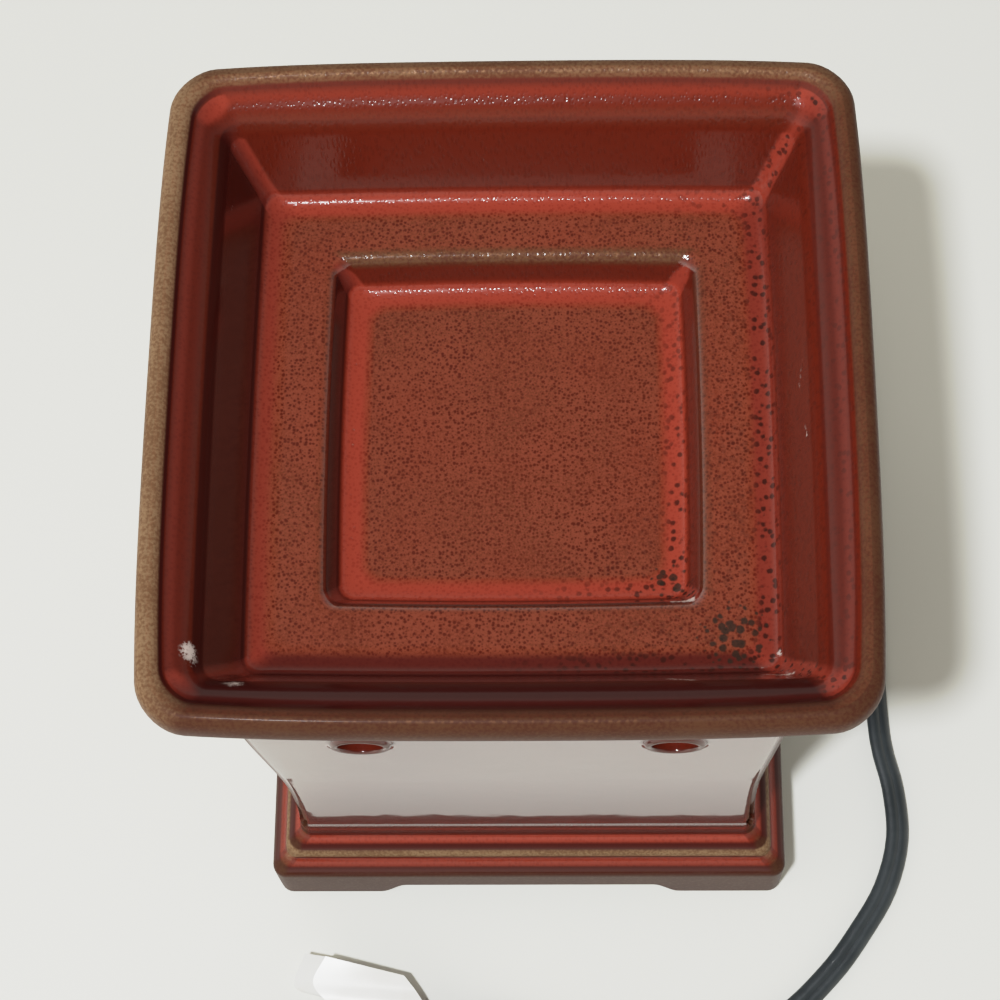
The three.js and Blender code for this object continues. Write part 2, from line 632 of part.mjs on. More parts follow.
function terminalBore() {
  const end = HOLDER_RADIUS - TERMINAL_LENGTH - SEAT_GAP;
  return rod(TERMINAL_SHANK + SEAT_GAP, end, HOLDER_RADIUS + OVERCUT, SMALL_STEPS);
}

function terminalScrew() {
  const headBottom = HOLDER_RADIUS + SEAT_GAP;
  const headTop = headBottom + TERMINAL_HEAD_DEPTH;
  const shankEnd = HOLDER_RADIUS - TERMINAL_LENGTH;
  return turned([[0, shankEnd], [TERMINAL_SHANK, shankEnd], [TERMINAL_SHANK, headBottom],
    [TERMINAL_HEAD, headBottom], [TERMINAL_HEAD, headTop], [0, headTop]], SMALL_STEPS);
}

// A form on the Z axis is laid out along a terminal's radius, behind the holder
function terminalPlaced(geometry, side) {
  const angle = THREE.MathUtils.degToRad(90 - side * TERMINAL_ANGLE);
  const height = HOLDER_BOTTOM + HOLDER_BASE_HEIGHT / 2;
  return geometry.rotateY(Math.PI / 2).rotateZ(angle).translate(0, 0, height);
}

function screwShell() {
  const bottom = HOLDER_TOP + SEAT_GAP;
  const top = bottom + SCREW_SHELL_HEIGHT;
  const seat = SCREW_SHELL_RADIUS - SCREW_SHELL_SEAT;
  const seatTop = bottom + SCREW_SHELL_WALL;
  return turned([[seat, bottom], [SCREW_SHELL_RADIUS, bottom], [SCREW_SHELL_RADIUS, top],
    [SCREW_SHELL_BORE, top], [SCREW_SHELL_BORE, seatTop], [seat, seatTop], [seat, bottom]]);
}

// A strip folded back over itself, so that its upper leaf springs against the lamp
function centreContact() {
  const bottom = HOLDER_TOP + SEAT_GAP;
  const half = CONTACT_LENGTH / 2;
  const leafTop = bottom + CONTACT_STRIP;
  const crown = CONTACT_TOP - CONTACT_STRIP;
  const strip = new THREE.Shape([
    [-half, bottom], [half, bottom], [half, leafTop], [2 * CONTACT_STRIP - half, leafTop],
    [CONTACT_STRIP, crown], [half / 2, crown], [half / 2, CONTACT_TOP], [0, CONTACT_TOP],
    [-half, leafTop + CONTACT_STRIP / 2],
  ].map(([x, z]) => new THREE.Vector2(x, z)));
  return extrudedAlongY(strip, CONTACT_WIDTH);
}

// Lamp
function lampCap() {
  const inner = LAMP_CAP_RADIUS - LAMP_CAP_WALL;
  const lip = inner - LAMP_CAP_LIP;
  const lipTop = LAMP_CAP_BOTTOM + LAMP_CAP_WALL;
  return turned([[lip, LAMP_CAP_BOTTOM], [LAMP_CAP_RADIUS, LAMP_CAP_BOTTOM], [LAMP_CAP_RADIUS, LAMP_CAP_TOP],
    [inner, LAMP_CAP_TOP], [inner, lipTop], [lip, lipTop], [lip, LAMP_CAP_BOTTOM]]);
}

function lampInsulator() {
  const top = LAMP_INSULATOR_BOTTOM + LAMP_INSULATOR_HEIGHT;
  const wide = LAMP_CAP_RADIUS - LAMP_CAP_WALL;
  const narrow = LAMP_TIP_RADIUS + LAMP_CAP_WALL;
  return turned([[0, LAMP_INSULATOR_BOTTOM], [narrow, LAMP_INSULATOR_BOTTOM], [wide, top], [0, top]]);
}

function lampTip() {
  const top = LAMP_BOTTOM + LAMP_TIP_HEIGHT;
  const round = LAMP_TIP_RADIUS / 2;
  const waist = LAMP_BOTTOM + LAMP_TIP_HEIGHT / 2;
  return turned([[0, LAMP_BOTTOM], [round, LAMP_BOTTOM], [LAMP_TIP_RADIUS, waist], [LAMP_TIP_RADIUS, top],
    [0, top]], SMALL_STEPS);
}

// A blown tube on a narrow neck, open below where the stem is sealed in
function lampGlass() {
  const flareTop = LAMP_CAP_TOP + LAMP_FLARE;
  const domeFoot = LAMP_TOP - LAMP_GLASS_RADIUS;
  const skin = (inset) => {
    const wide = LAMP_GLASS_RADIUS - inset;
    const neck = LAMP_NECK_RADIUS - inset;
    const path = new THREE.Path();
    path.moveTo(neck, LAMP_NECK_BOTTOM);
    path.lineTo(neck, LAMP_CAP_TOP);
    path.bezierCurveTo(neck, LAMP_CAP_TOP + LAMP_FLARE / 2, wide, flareTop - LAMP_FLARE / 2, wide, flareTop);
    path.lineTo(wide, domeFoot);
    path.absarc(0, domeFoot, wide, 0, Math.PI / 2, false);
    return path.getPoints(CURVE_STEPS).map((point) => [Math.max(0, point.x), point.y]);
  };
  const outer = skin(0);
  const inner = skin(LAMP_GLASS_WALL).reverse();
  outer[outer.length - 1][0] = 0;
  inner[0][0] = 0;
  return solidRing([...outer, ...inner]);
}

// A turned skin that touches the axis at its crown and closes on itself at its open foot
function solidRing(points) {
  return turned([...points, points[0]]);
}

function lampStem() {
  const flare = LAMP_NECK_RADIUS - LAMP_GLASS_WALL - SEAT_GAP;
  const flareTop = LAMP_NECK_BOTTOM + STEM_RADIUS;
  return turned([[0, LAMP_NECK_BOTTOM], [flare, LAMP_NECK_BOTTOM], [STEM_RADIUS, flareTop],
    [STEM_RADIUS, STEM_TOP], [0, STEM_TOP]], SMALL_STEPS);
}

function lampFilament() {
  const foot = STEM_TOP + SEAT_GAP;
  const top = foot + FILAMENT_RISE;
  const toe = STEM_RADIUS / 2;
  const sag = FILAMENT_RISE / 6;
  const curve = smoothCurve([[-toe, 0, foot], [-toe, 0, foot + sag], [-FILAMENT_SPREAD, 0, top - sag],
    [-FILAMENT_SPREAD, 0, top], [-FILAMENT_SPREAD / 2, 0, top - sag], [0, 0, top],
    [FILAMENT_SPREAD / 2, 0, top - sag], [FILAMENT_SPREAD, 0, top], [FILAMENT_SPREAD, 0, top - sag],
    [toe, 0, foot + sag], [toe, 0, foot]]);
  return tubeAlong(curve, polygonSection(FILAMENT_RADIUS, FILAMENT_SIDES), FILAMENT_STEPS);
}

// Lead inside the plinth: two conductors from the bushing, up through the grommet, to the terminals
function conductor(side) {
  const inner = RECESS_HALF - SEAT_GAP - BUSHING_FLANGE_DEPTH - SEAT_GAP;
  const x = side * CONDUCTOR_OFFSET;
  const angle = THREE.MathUtils.degToRad(TERMINAL_ANGLE);
  const height = HOLDER_BOTTOM + HOLDER_BASE_HEIGHT / 2;
  const screwFace = HOLDER_RADIUS + 2 * SEAT_GAP + TERMINAL_HEAD_DEPTH;
  const onRadius = (reach) => [side * reach * Math.sin(angle), reach * Math.cos(angle), height];
  const clear = CONDUCTOR_RADIUS * 4;
  const curve = smoothCurve([
    [x, inner, NOTCH_HEIGHT],
    [x, inner - clear, NOTCH_HEIGHT],
    [x, GROMMET_OFFSET + 2 * clear, NOTCH_HEIGHT + clear / 4],
    [x, GROMMET_OFFSET + clear / 4, WEB_BOTTOM - clear],
    [x, GROMMET_OFFSET, WEB_BOTTOM],
    [x, GROMMET_OFFSET, WEB_TOP + GROMMET_LIP],
    [side * clear, GROMMET_OFFSET + CONDUCTOR_RADIUS, height - clear / 2],
    onRadius(screwFace + 3 * clear / 2),
    onRadius(screwFace + clear / 2),
    onRadius(screwFace),
  ]);
  return tubeAlong(curve, polygonSection(CONDUCTOR_RADIUS, WIRE_SIDES), WIRE_STEPS);
}

function wireGrommet() {
  const low = WEB_BOTTOM - SEAT_GAP;
  const high = WEB_TOP + SEAT_GAP;
  const ringProfile = [[GROMMET_BORE, low - GROMMET_LIP], [GROMMET_FLANGE, low - GROMMET_LIP],
    [GROMMET_FLANGE, low], [GROMMET_NECK, low], [GROMMET_NECK, high], [GROMMET_FLANGE, high],
    [GROMMET_FLANGE, high + GROMMET_LIP], [GROMMET_BORE, high + GROMMET_LIP]];
  return solidRing(ringProfile).translate(0, GROMMET_OFFSET, 0);
}

// Moulded strain relief that clips into the notch at the back, with its axis along +Y
function cordBushing() {
  const insideFace = RECESS_HALF - SEAT_GAP;
  const outsideFace = PLINTH_HALF + SEAT_GAP;
  const tailFoot = outsideFace + BUSHING_FLANGE_DEPTH;
  const innerEnd = insideFace - BUSHING_FLANGE_DEPTH;
  const relief = turned([[0, innerEnd], [BUSHING_FLANGE, innerEnd], [BUSHING_FLANGE, insideFace],
    [BUSHING_NECK, insideFace], [BUSHING_NECK, outsideFace], [BUSHING_FLANGE, outsideFace],
    [BUSHING_FLANGE, tailFoot], [BUSHING_FLANGE - EDGE_ROUND, tailFoot], [BUSHING_TIP, BUSHING_END],
    [0, BUSHING_END]]);
  return relief.rotateX(-Math.PI / 2).translate(0, 0, NOTCH_HEIGHT);
}

// Free lead. It stands on its narrow edge, as a flat lead does when it curves on a table.
const REST = SEAT_GAP + CORD_WIDTH / 2;
const COIL_Z = COIL_BOTTOM + CORD_WIDTH / 2;
const TAG_FROM = [-25, -86.4, 4.2];
const TAG_TO = [-35, -86.4, 4.2];
const LEAD_ROUTE = [
  [0, 83.1, 15.7], [0, 91, 15.7], [0, 102, 12.6], [0.8, 113, 5.6], [4.6, 123.5, REST], [13, 132.5, REST],
  [25, 137.3, REST], [39, 137.6, REST], [53, 132.8, REST], [65, 123, REST], [73.4, 109, REST],
  [79.4, 82, REST], [82.2, 25, REST], [82.9, -22.5, REST], [85.2, -34, REST], [85.6, -46, REST],
  [82.2, -57.5, REST], [76.2, -67.3, REST], [68.5, -77.2, REST], [56, -88, REST], [36, -94.4, REST],
  [10, -91.2, REST], [-10, -87, 3.7], TAG_FROM, TAG_TO, [-45, -87, 4.3], [-57, -93, 5],
  [-64.5, -103.5, 6.9], [-66, -111.8, 7.95], [-66, -117.7, 7.95],
];
const LINK_ROUTE = [
  [-66, -168.3, 7.95], [-66, -174, 7.95], [-66, -180, 7.2], [-60.5, -191.5, 5.6], [-47, -198, 4.4],
  [-3.4, -198.3, COIL_Z], [2.2, -198.3, COIL_Z],
];
const TAIL_ROUTE = [
  [30.17, -190.81, COIL_Z + COIL_LAYER], [34.93, -188.06, COIL_Z + COIL_LAYER], [46.6, -178.9, 8.9],
  [54.2, -168.1, 7.8], [55.62, -162.79, 7.8],
];

// The flat section, with its width along the first axis of the section or along the second
function cordSection(widthFirst) {
  const tall = CORD_WIDTH / 2;
  const thin = CORD_THICKNESS / 2;
  const shoulder = tall - thin / 2;
  const corners = [[tall, thin / 2], [shoulder, thin], [-shoulder, thin], [-tall, thin / 2],
    [-tall, -thin / 2], [-shoulder, -thin], [shoulder, -thin], [tall, -thin / 2]];
  return new THREE.Shape(corners.map(([along, across]) => (
    widthFirst ? new THREE.Vector2(along, across) : new THREE.Vector2(across, -along)
  )));
}

function cordAlong(route, widthFirst) {
  const curve = smoothCurve(route);
  const steps = Math.ceil(curve.getLength() / (2 * CORD_WIDTH));
  return tubeAlong(curve, cordSection(widthFirst), steps);
}

// Coil: the lead winds in on the table, climbs one layer while the spiral turns back, and winds out again
function coilPoint(sweep) {
  const half = COIL_TURN / 2;
  const angle = THREE.MathUtils.degToRad(COIL_START + sweep);
  const radius = COIL_RADIUS - (COIL_PITCH / 360) * (half - Math.abs(half - sweep));
  const climb = THREE.MathUtils.smoothstep(sweep, half - 90, half + 90);
  return new THREE.Vector3(COIL_X + radius * Math.cos(angle), COIL_Y + radius * Math.sin(angle),
    COIL_Z + COIL_LAYER * climb);
}

function coilCentreline() {
  const steps = Math.round((COIL_TURN / 360) * COIL_STEPS);
  const points = [];
  for (let step = 0; step <= steps; step += 1) {
    points.push(coilPoint((COIL_TURN * step) / steps));
  }
  const straight = (sweep, reach) => {
    const angle = THREE.MathUtils.degToRad(COIL_START + sweep);
    const ahead = new THREE.Vector3(-Math.sin(angle), Math.cos(angle), 0);
    return coilPoint(sweep).addScaledVector(ahead, reach);
  };
  return [straight(0, -CORD_WIDTH), ...points, straight(COIL_TURN, CORD_WIDTH)];
}

function coilRings() {
  const line = coilCentreline();
  const tall = CORD_WIDTH / 2;
  const thin = CORD_THICKNESS / 2;
  const side = tall / 2;
  const section = [[0, tall], [-thin, side], [-thin, -side], [0, -tall], [thin, -side], [thin, side]];
  const up = new THREE.Vector3(0, 0, 1);
  return line.map((point, place) => {
    const before = line[Math.max(0, place - 1)];
    const after = line[Math.min(line.length - 1, place + 1)];
    const ahead = after.clone().sub(before).setZ(0).normalize();
    const aside = up.clone().cross(ahead);
    return section.map(([across, high]) => (
      point.clone().addScaledVector(aside, across).addScaledVector(up, high)
    ));
  });
}

// Least distance between skin points of the coil that lie more than half a turn apart along it
function coilSelfGap(rings) {
  let least = Infinity;
  for (let first = 0; first < rings.length; first += 1) {
    for (let second = first + COIL_STEPS / 2; second < rings.length; second += 1) {
      for (const a of rings[first]) {
        for (const b of rings[second]) {
          least = Math.min(least, a.distanceTo(b));
        }
      }
    }
  }
  return least;
}

// A strap round all the turns at one place
function coilTie() {
  const inner = COIL_RADIUS - (COIL_PITCH * COIL_TURN) / 720 - CORD_THICKNESS / 2 - 2 * SEAT_GAP;
  const outer = COIL_RADIUS + CORD_THICKNESS / 2 + 2 * SEAT_GAP;
  const low = COIL_BOTTOM - SEAT_GAP;
  const high = COIL_BOTTOM + COIL_LAYER + CORD_WIDTH + SEAT_GAP;
  const wall = TIE_THICKNESS;
  const strap = roundedRectangle(inner - wall, low - wall, outer + wall, high + wall, TIE_ROUND);
  strap.holes.push(roundedRectangle(inner, low, outer, high, TIE_ROUND - wall, THREE.Path));
  const loop = extrudedAlongY(strap, TIE_WIDTH);
  return loop.rotateZ(THREE.MathUtils.degToRad(TIE_ANGLE)).translate(COIL_X, COIL_Y, 0);
}

// A bare folded tag: a sleeve round the lead and a flag that lies towards the warmer
function cordTag() {
  const [, leadY, leadZ] = TAG_FROM;
  const middleX = (TAG_FROM[0] + TAG_TO[0]) / 2;
  const halfY = CORD_THICKNESS / 2 + LOOSE_GAP;
  const halfZ = CORD_WIDTH / 2 + LOOSE_GAP / 2;
  const wall = TAG_THICKNESS;
  const sleeve = roundedRectangle(-halfY - wall, -halfZ - wall, halfY + wall, halfZ + wall, 2 * wall);
  sleeve.holes.push(roundedRectangle(-halfY, -halfZ, halfY, halfZ, wall, THREE.Path));
  const loop = extruded(sleeve, TAG_SLEEVE).rotateX(Math.PI / 2).rotateZ(Math.PI / 2);
  loop.translate(middleX - TAG_SLEEVE / 2, leadY, leadZ);
  const flagRoot = leadY + halfY + wall / 2;
  const flag = new THREE.Shape([
    [middleX - TAG_ROOT / 2, flagRoot], [middleX + TAG_ROOT / 2, flagRoot], TAG_RIGHT_CORNER, TAG_LEFT_CORNER,
  ].map(([x, y]) => new THREE.Vector2(x, y)));
  const sheet = extruded(flag, wall).translate(0, 0, leadZ - halfZ - wall);
  return unite([loop, sheet]);
}

// Hand switch, drawn with its length along Y and its middle at the origin
function switchOutline(inset) {
  const [halfX, halfY] = [SWITCH_WIDTH / 2 - inset, SWITCH_LENGTH / 2 - inset];
  return roundedRectangle(-halfX, -halfY, halfX, halfY, SWITCH_CORNER - inset);
}

function switchPosts(low, high) {
  const inner = WHEEL_WIDTH / 2 + LOOSE_GAP;
  const half = AXLE_RADIUS + LOOSE_GAP;
  return [-1, 1].map((side) => {
    const [near, far] = [side * inner, side * (inner + POST_THICKNESS)];
    return boxBetween([Math.min(near, far), -half, low], [Math.max(near, far), half, high]);
  });
}

function switchBosses(radius, low, high) {
  return [-1, 1].map((side) => (
    rod(radius, low, high, SMALL_STEPS).translate(0, side * SWITCH_SCREW_OFFSET, 0)
  ));
}

function switchLowerCase() {
  const shell = extruded(switchOutline(0), SWITCH_HALF_HEIGHT);
  const hollow = extruded(switchOutline(SWITCH_WALL), SWITCH_HALF_HEIGHT).translate(0, 0, SWITCH_WALL);
  const tray = cut(shell, [hollow]);
  const saddle = WHEEL_HEIGHT - AXLE_RADIUS - SEAT_GAP;
  const sunk = SWITCH_WALL / 2;
  const bosses = switchBosses(SWITCH_BOSS, sunk, SWITCH_HALF_HEIGHT);
  const filled = unite([tray, ...switchPosts(sunk, saddle), ...bosses]);
  return cut(filled, switchBosses(SWITCH_SCREW_SHANK + SEAT_GAP, SWITCH_WALL, SWITCH_HALF_HEIGHT + OVERCUT));
}

function switchUpperCase() {
  const shell = extruded(switchOutline(0), SWITCH_HALF_HEIGHT).translate(0, 0, SWITCH_SPLIT);
  const roof = SWITCH_TOP - SWITCH_WALL;
  const hollow = extruded(switchOutline(SWITCH_WALL), roof - SWITCH_SPLIT + OVERCUT);
  const cover = cut(shell, [hollow.translate(0, 0, SWITCH_SPLIT - OVERCUT)]);
  const saddle = WHEEL_HEIGHT + AXLE_RADIUS + SEAT_GAP;
  const sunk = SWITCH_TOP - SWITCH_WALL / 2;
  const bosses = switchBosses(SWITCH_BOSS, SWITCH_SPLIT, sunk);
  const filled = unite([cover, ...switchPosts(saddle, sunk), ...bosses]);
  const slotX = WHEEL_WIDTH / 2 + LOOSE_GAP / 2;
  const slotY = Math.sqrt(WHEEL_RADIUS ** 2 - (roof - WHEEL_HEIGHT) ** 2) + LOOSE_GAP;
  const slot = boxBetween([-slotX, -slotY, roof - OVERCUT], [slotX, slotY, SWITCH_TOP + OVERCUT]);
  const headSeat = SWITCH_TOP - SWITCH_SCREW_HEAD_DEPTH - 2 * SEAT_GAP;
  const shanks = switchBosses(SWITCH_SCREW_SHANK + SEAT_GAP, SWITCH_SPLIT - OVERCUT, SWITCH_TOP + OVERCUT);
  const heads = switchBosses(SWITCH_SCREW_HEAD + SEAT_GAP, headSeat, SWITCH_TOP + OVERCUT);
  return cut(filled, [slot, ...shanks, ...heads]);
}

function switchScrew(side) {
  const headBottom = SWITCH_TOP - SWITCH_SCREW_HEAD_DEPTH - SEAT_GAP;
  const headTop = headBottom + SWITCH_SCREW_HEAD_DEPTH;
  const end = SWITCH_WALL + SEAT_GAP;
  const screw = turned([[0, end], [SWITCH_SCREW_SHANK, end], [SWITCH_SCREW_SHANK, headBottom],
    [SWITCH_SCREW_HEAD, headBottom], [SWITCH_SCREW_HEAD, headTop], [0, headTop]], SMALL_STEPS);
  return screw.translate(0, side * SWITCH_SCREW_OFFSET, 0);
}

// Thumb wheel with a notched edge, turning on the axle along X
function switchWheel() {
  const points = [];
  for (let tooth = 0; tooth < WHEEL_TEETH; tooth += 1) {
    for (const [share, depth] of [[0, 0], [0.45, 0], [0.6, WHEEL_TOOTH], [0.85, WHEEL_TOOTH]]) {
      const angle = (2 * Math.PI * (tooth + share)) / WHEEL_TEETH;
      const radius = WHEEL_RADIUS - depth;
      points.push(new THREE.Vector2(radius * Math.cos(angle), radius * Math.sin(angle)));
    }
  }
  const outline = new THREE.Shape(points);
  outline.holes.push(roundHole(0, 0, AXLE_RADIUS + SLIP_GAP));
  const wheel = extruded(outline, WHEEL_WIDTH);
  return wheel.translate(0, 0, -WHEEL_WIDTH / 2).rotateY(Math.PI / 2).translate(0, 0, WHEEL_HEIGHT);
}

function switchAxle() {
  const half = SWITCH_WIDTH / 2 - SWITCH_WALL - SEAT_GAP;
  return rod(AXLE_RADIUS, -half, half, SMALL_STEPS).rotateY(Math.PI / 2).translate(0, 0, WHEEL_HEIGHT);
}

function switchContact(side) {
  const low = SWITCH_WALL + SEAT_GAP;
  const strip = CONTACT_STRIP;
  const near = SWITCH_CONTACT_OFFSET - strip;
  const far = near + SWITCH_CONTACT_FOOT;
  const profile = new THREE.Shape([[near, low], [far, low], [far, low + strip], [near + strip, low + strip],
    [near + strip, low + SWITCH_CONTACT_RISE], [near, low + SWITCH_CONTACT_RISE]]
    .map(([y, z]) => new THREE.Vector2(y, z)));
  const leaf = extrudedAlongY(profile, SWITCH_CONTACT_WIDTH).rotateZ(Math.PI / 2);
  return side > 0 ? leaf : leaf.rotateZ(Math.PI);
}

// Plug, drawn with its neck at the origin and its blades towards +Y
function plugBody() {
  const [wide, thick] = [PLUG_WIDTH / 2, PLUG_THICKNESS / 2];
  const shoulder = PLUG_NECK_LENGTH + PLUG_FLARE;
  const sections = [
    [0, PLUG_NECK, PLUG_NECK], [PLUG_NECK_LENGTH, PLUG_NECK + PLUG_ROUND, PLUG_NECK],
    [shoulder - PLUG_ROUND, wide - PLUG_ROUND, thick - PLUG_ROUND / 2], [shoulder + PLUG_ROUND, wide, thick],
    [PLUG_LENGTH - PLUG_ROUND, wide, thick], [PLUG_LENGTH, wide - PLUG_ROUND / 2, thick - PLUG_ROUND / 2],
  ];
  const rings = sections.map(([along, halfX, halfZ]) => (
    ring(halfX, halfZ, Math.min(halfX, halfZ) - PLUG_FLAT, along)
  ));
  return loft(rings).rotateX(-Math.PI / 2).translate(0, 0, thick + SEAT_GAP);
}

function plugBlade(side, width) {
  const low = PLUG_THICKNESS / 2 + SEAT_GAP - width / 2;
  const start = PLUG_LENGTH + SEAT_GAP;
  const blade = roundedRectangle(start, low, start + BLADE_LENGTH, low + width, BLADE_THICKNESS);
  const eye = start + BLADE_LENGTH - BLADE_EYE_INSET;
  blade.holes.push(roundHole(eye, low + width / 2, BLADE_EYE, SMALL_STEPS));
  const sheet = extruded(blade, BLADE_THICKNESS);
  const across = (side * BLADE_SPACING) / 2 + BLADE_THICKNESS / 2;
  return sheet.rotateX(Math.PI / 2).rotateZ(Math.PI / 2).translate(across - BLADE_THICKNESS, 0, 0);
}

// Assembly
const warmer = new THREE.Group();
const handSwitch = new THREE.Group();
handSwitch.position.set(SWITCH_X, SWITCH_Y, SEAT_GAP);
const plug = new THREE.Group();
plug.position.set(PLUG_X, PLUG_Y, 0);
plug.rotation.z = THREE.MathUtils.degToRad(PLUG_HEADING - 90);
warmer.add(handSwitch, plug);

function piece(name, geometry, material, group = warmer) {
  const mesh = new THREE.Mesh(geometry, material);
  mesh.name = name;
  group.add(mesh);
}

piece('warming_dish', squareLoft(dishOutline(), dishCorner, SIDE_BOW), glaze);
piece('body_shell', bodyShell(), glaze);
piece('bottom_plate', bottomPlate(), blackSteel);
const padPlace = PLINTH_HALF - FOOT_BLOCK / 2;
[[-1, -1], [1, -1], [1, 1], [-1, 1]].forEach(([signX, signY], corner) => {
  const pad = rod(PAD_RADIUS, 0, PAD_THICKNESS).translate(signX * padPlace, signY * padPlace, 0);
  piece(`foot_pad_${corner + 1}`, pad, rubber);
});

const plateNutBottom = PLATE_BOTTOM - SEAT_GAP - NUT_THICKNESS;
const upperWasherBottom = WEB_TOP + SEAT_GAP;
const lowerWasherTop = WEB_BOTTOM - SEAT_GAP;
const lowerWasherBottom = lowerWasherTop - WASHER_THICKNESS;
const lowerNutBottom = lowerWasherBottom - SEAT_GAP - NUT_THICKNESS;
const upperWasherTop = upperWasherBottom + WASHER_THICKNESS;
const nippleBottom = plateNutBottom - NIPPLE_PROUD;
piece('threaded_nipple', tubeRing(NIPPLE_BORE, NIPPLE_RADIUS, nippleBottom, NIPPLE_TOP), zincSteel);
piece('plate_nut', hexNut(plateNutBottom), zincSteel);
piece('lower_nut', hexNut(lowerNutBottom), zincSteel);
piece('lower_washer', tubeRing(NUT_BORE, WASHER_RADIUS, lowerWasherBottom, lowerWasherTop), zincSteel);
piece('upper_washer', tubeRing(NUT_BORE, WASHER_RADIUS, upperWasherBottom, upperWasherTop), zincSteel);
piece('upper_nut', hexNut(upperWasherTop + SEAT_GAP), zincSteel);

const sleeveBottom = HOLDER_TOP + SEAT_GAP;
const sleeveTop = sleeveBottom + SLEEVE_HEIGHT;
const sleeveBore = SCREW_SHELL_RADIUS + SEAT_GAP;
piece('holder_base', holderBase(), phenolic);
piece('holder_sleeve', tubeRing(sleeveBore, SLEEVE_RADIUS, sleeveBottom, sleeveTop), phenolic);
piece('screw_shell', screwShell(), brass);
piece('centre_contact', centreContact(), brass);
piece('terminal_screw_live', terminalPlaced(terminalScrew(), 1), brass);
piece('terminal_screw_neutral', terminalPlaced(terminalScrew(), -1), zincSteel);

piece('lamp_tip', lampTip(), solder);
piece('lamp_insulator', lampInsulator(), phenolic);
piece('lamp_cap', lampCap(), brass);
piece('lamp_glass', lampGlass(), clearGlass);
piece('lamp_stem', lampStem(), clearGlass);
piece('lamp_filament', lampFilament(), tungsten);

piece('wire_grommet', wireGrommet(), rubber);
piece('conductor_live', conductor(1), wireInsulation);
piece('conductor_neutral', conductor(-1), wireInsulation);
piece('cord_bushing', cordBushing(), leadPlastic);

piece('cord_lead', cordAlong(LEAD_ROUTE, false), leadPlastic);
piece('cord_tag', cordTag(), paper);
piece('switch_lower_case', switchLowerCase(), leadPlastic, handSwitch);
piece('switch_upper_case', switchUpperCase(), leadPlastic, handSwitch);
piece('switch_wheel', switchWheel(), leadPlastic, handSwitch);
piece('switch_axle', switchAxle(), zincSteel, handSwitch);
piece('switch_screw_1', switchScrew(1), zincSteel, handSwitch);
piece('switch_screw_2', switchScrew(-1), zincSteel, handSwitch);
piece('switch_contact_1', switchContact(1), brass, handSwitch);
piece('switch_contact_2', switchContact(-1), brass, handSwitch);
piece('cord_link', cordAlong(LINK_ROUTE, false), leadPlastic);

const coil = coilRings();
console.log(`cord_coil least gap to itself ${coilSelfGap(coil).toFixed(2)} mm`);
piece('cord_coil', loft(coil), leadPlastic);
piece('coil_tie', coilTie(), rubber);
piece('cord_tail', cordAlong(TAIL_ROUTE, true), leadPlastic);
piece('plug_body', plugBody(), leadPlastic, plug);
piece('plug_blade_live', plugBlade(1, LIVE_BLADE_WIDTH), brass, plug);
piece('plug_blade_neutral', plugBlade(-1, NEUTRAL_BLADE_WIDTH), brass, plug);

export default warmer;
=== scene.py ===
import math

import bmesh
import bpy
from mathutils import Matrix, Vector
from mathutils.geometry import interpolate_bezier


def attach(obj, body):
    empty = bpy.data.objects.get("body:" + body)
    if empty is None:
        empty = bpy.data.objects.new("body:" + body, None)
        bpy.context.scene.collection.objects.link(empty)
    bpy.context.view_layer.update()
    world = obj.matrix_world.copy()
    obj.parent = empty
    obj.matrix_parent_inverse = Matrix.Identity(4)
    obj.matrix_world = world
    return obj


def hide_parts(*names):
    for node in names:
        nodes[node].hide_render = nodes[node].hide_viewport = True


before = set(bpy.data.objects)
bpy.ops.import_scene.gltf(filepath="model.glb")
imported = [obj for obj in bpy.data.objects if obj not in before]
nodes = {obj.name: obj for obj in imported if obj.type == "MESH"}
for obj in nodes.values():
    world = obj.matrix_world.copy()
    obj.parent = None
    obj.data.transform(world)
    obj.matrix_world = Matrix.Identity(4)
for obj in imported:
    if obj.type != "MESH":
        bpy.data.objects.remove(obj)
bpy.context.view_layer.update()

# A square lamp-heated wax warmer in a breaking oxblood glaze, with its flat black lead.
# Pieces are drawn in millimetres and turned into metres when they are finished.

MM = 0.001
scene = bpy.context.scene

# Glazed body
PLINTH_HALF = 58.0
PLINTH_BOTTOM = 1.5
FASCIA_TOP = 20.0
STEP_HALF = 54.5
STEP_TOP = 25.4
NECK_HALF = 50.2
NECK_TOP = 30.0
COLUMN_FOOT_HALF = 48.1
COLUMN_FOOT = 37.0
COLUMN_TOP_HALF = 52.85
COLUMN_SHOULDER = 139.8
BODY_TOP = 140.6
COLUMN_WALL = 5.0
COLUMN_CORNER = 2.5
RECESS_HALF = 52.0
RECESS_TOP = 21.2
WEB_BOTTOM = 28.0
WEB_TOP = 33.0
ARCH_TOP = 9.0
ARCH_FOOT = 34.5
ARCH_SWEEP = 6.0
ARCH_CROWN = 18.0
HOLE_RADIUS = 4.4
HOLE_LIP = 6.9
HOLE_LIP_RISE = 0.8
HOLE_OFFSET = 30.2
HOLE_HEIGHT = 110.4
NOTCH_HALF = 3.7
NOTCH_HEIGHT = 15.7
FLARE_TOP = 76.0
FLARE_REACH = 2.2
LEFT_LEAN = 1.6
LEAN_RISE = 70.0

# Dish
POOL_UNDERSIDE = 133.8
POOL_FLOOR = 138.8
LEDGE_UNDERSIDE = 140.9
LEDGE_TOP = 145.9
RIM_UNDERSIDE = 161.0
RIM_TOP = 170.0
RIM_HALF = 64.5
SIDE_BOW = 0.5
RIM_DRAW = 1.3

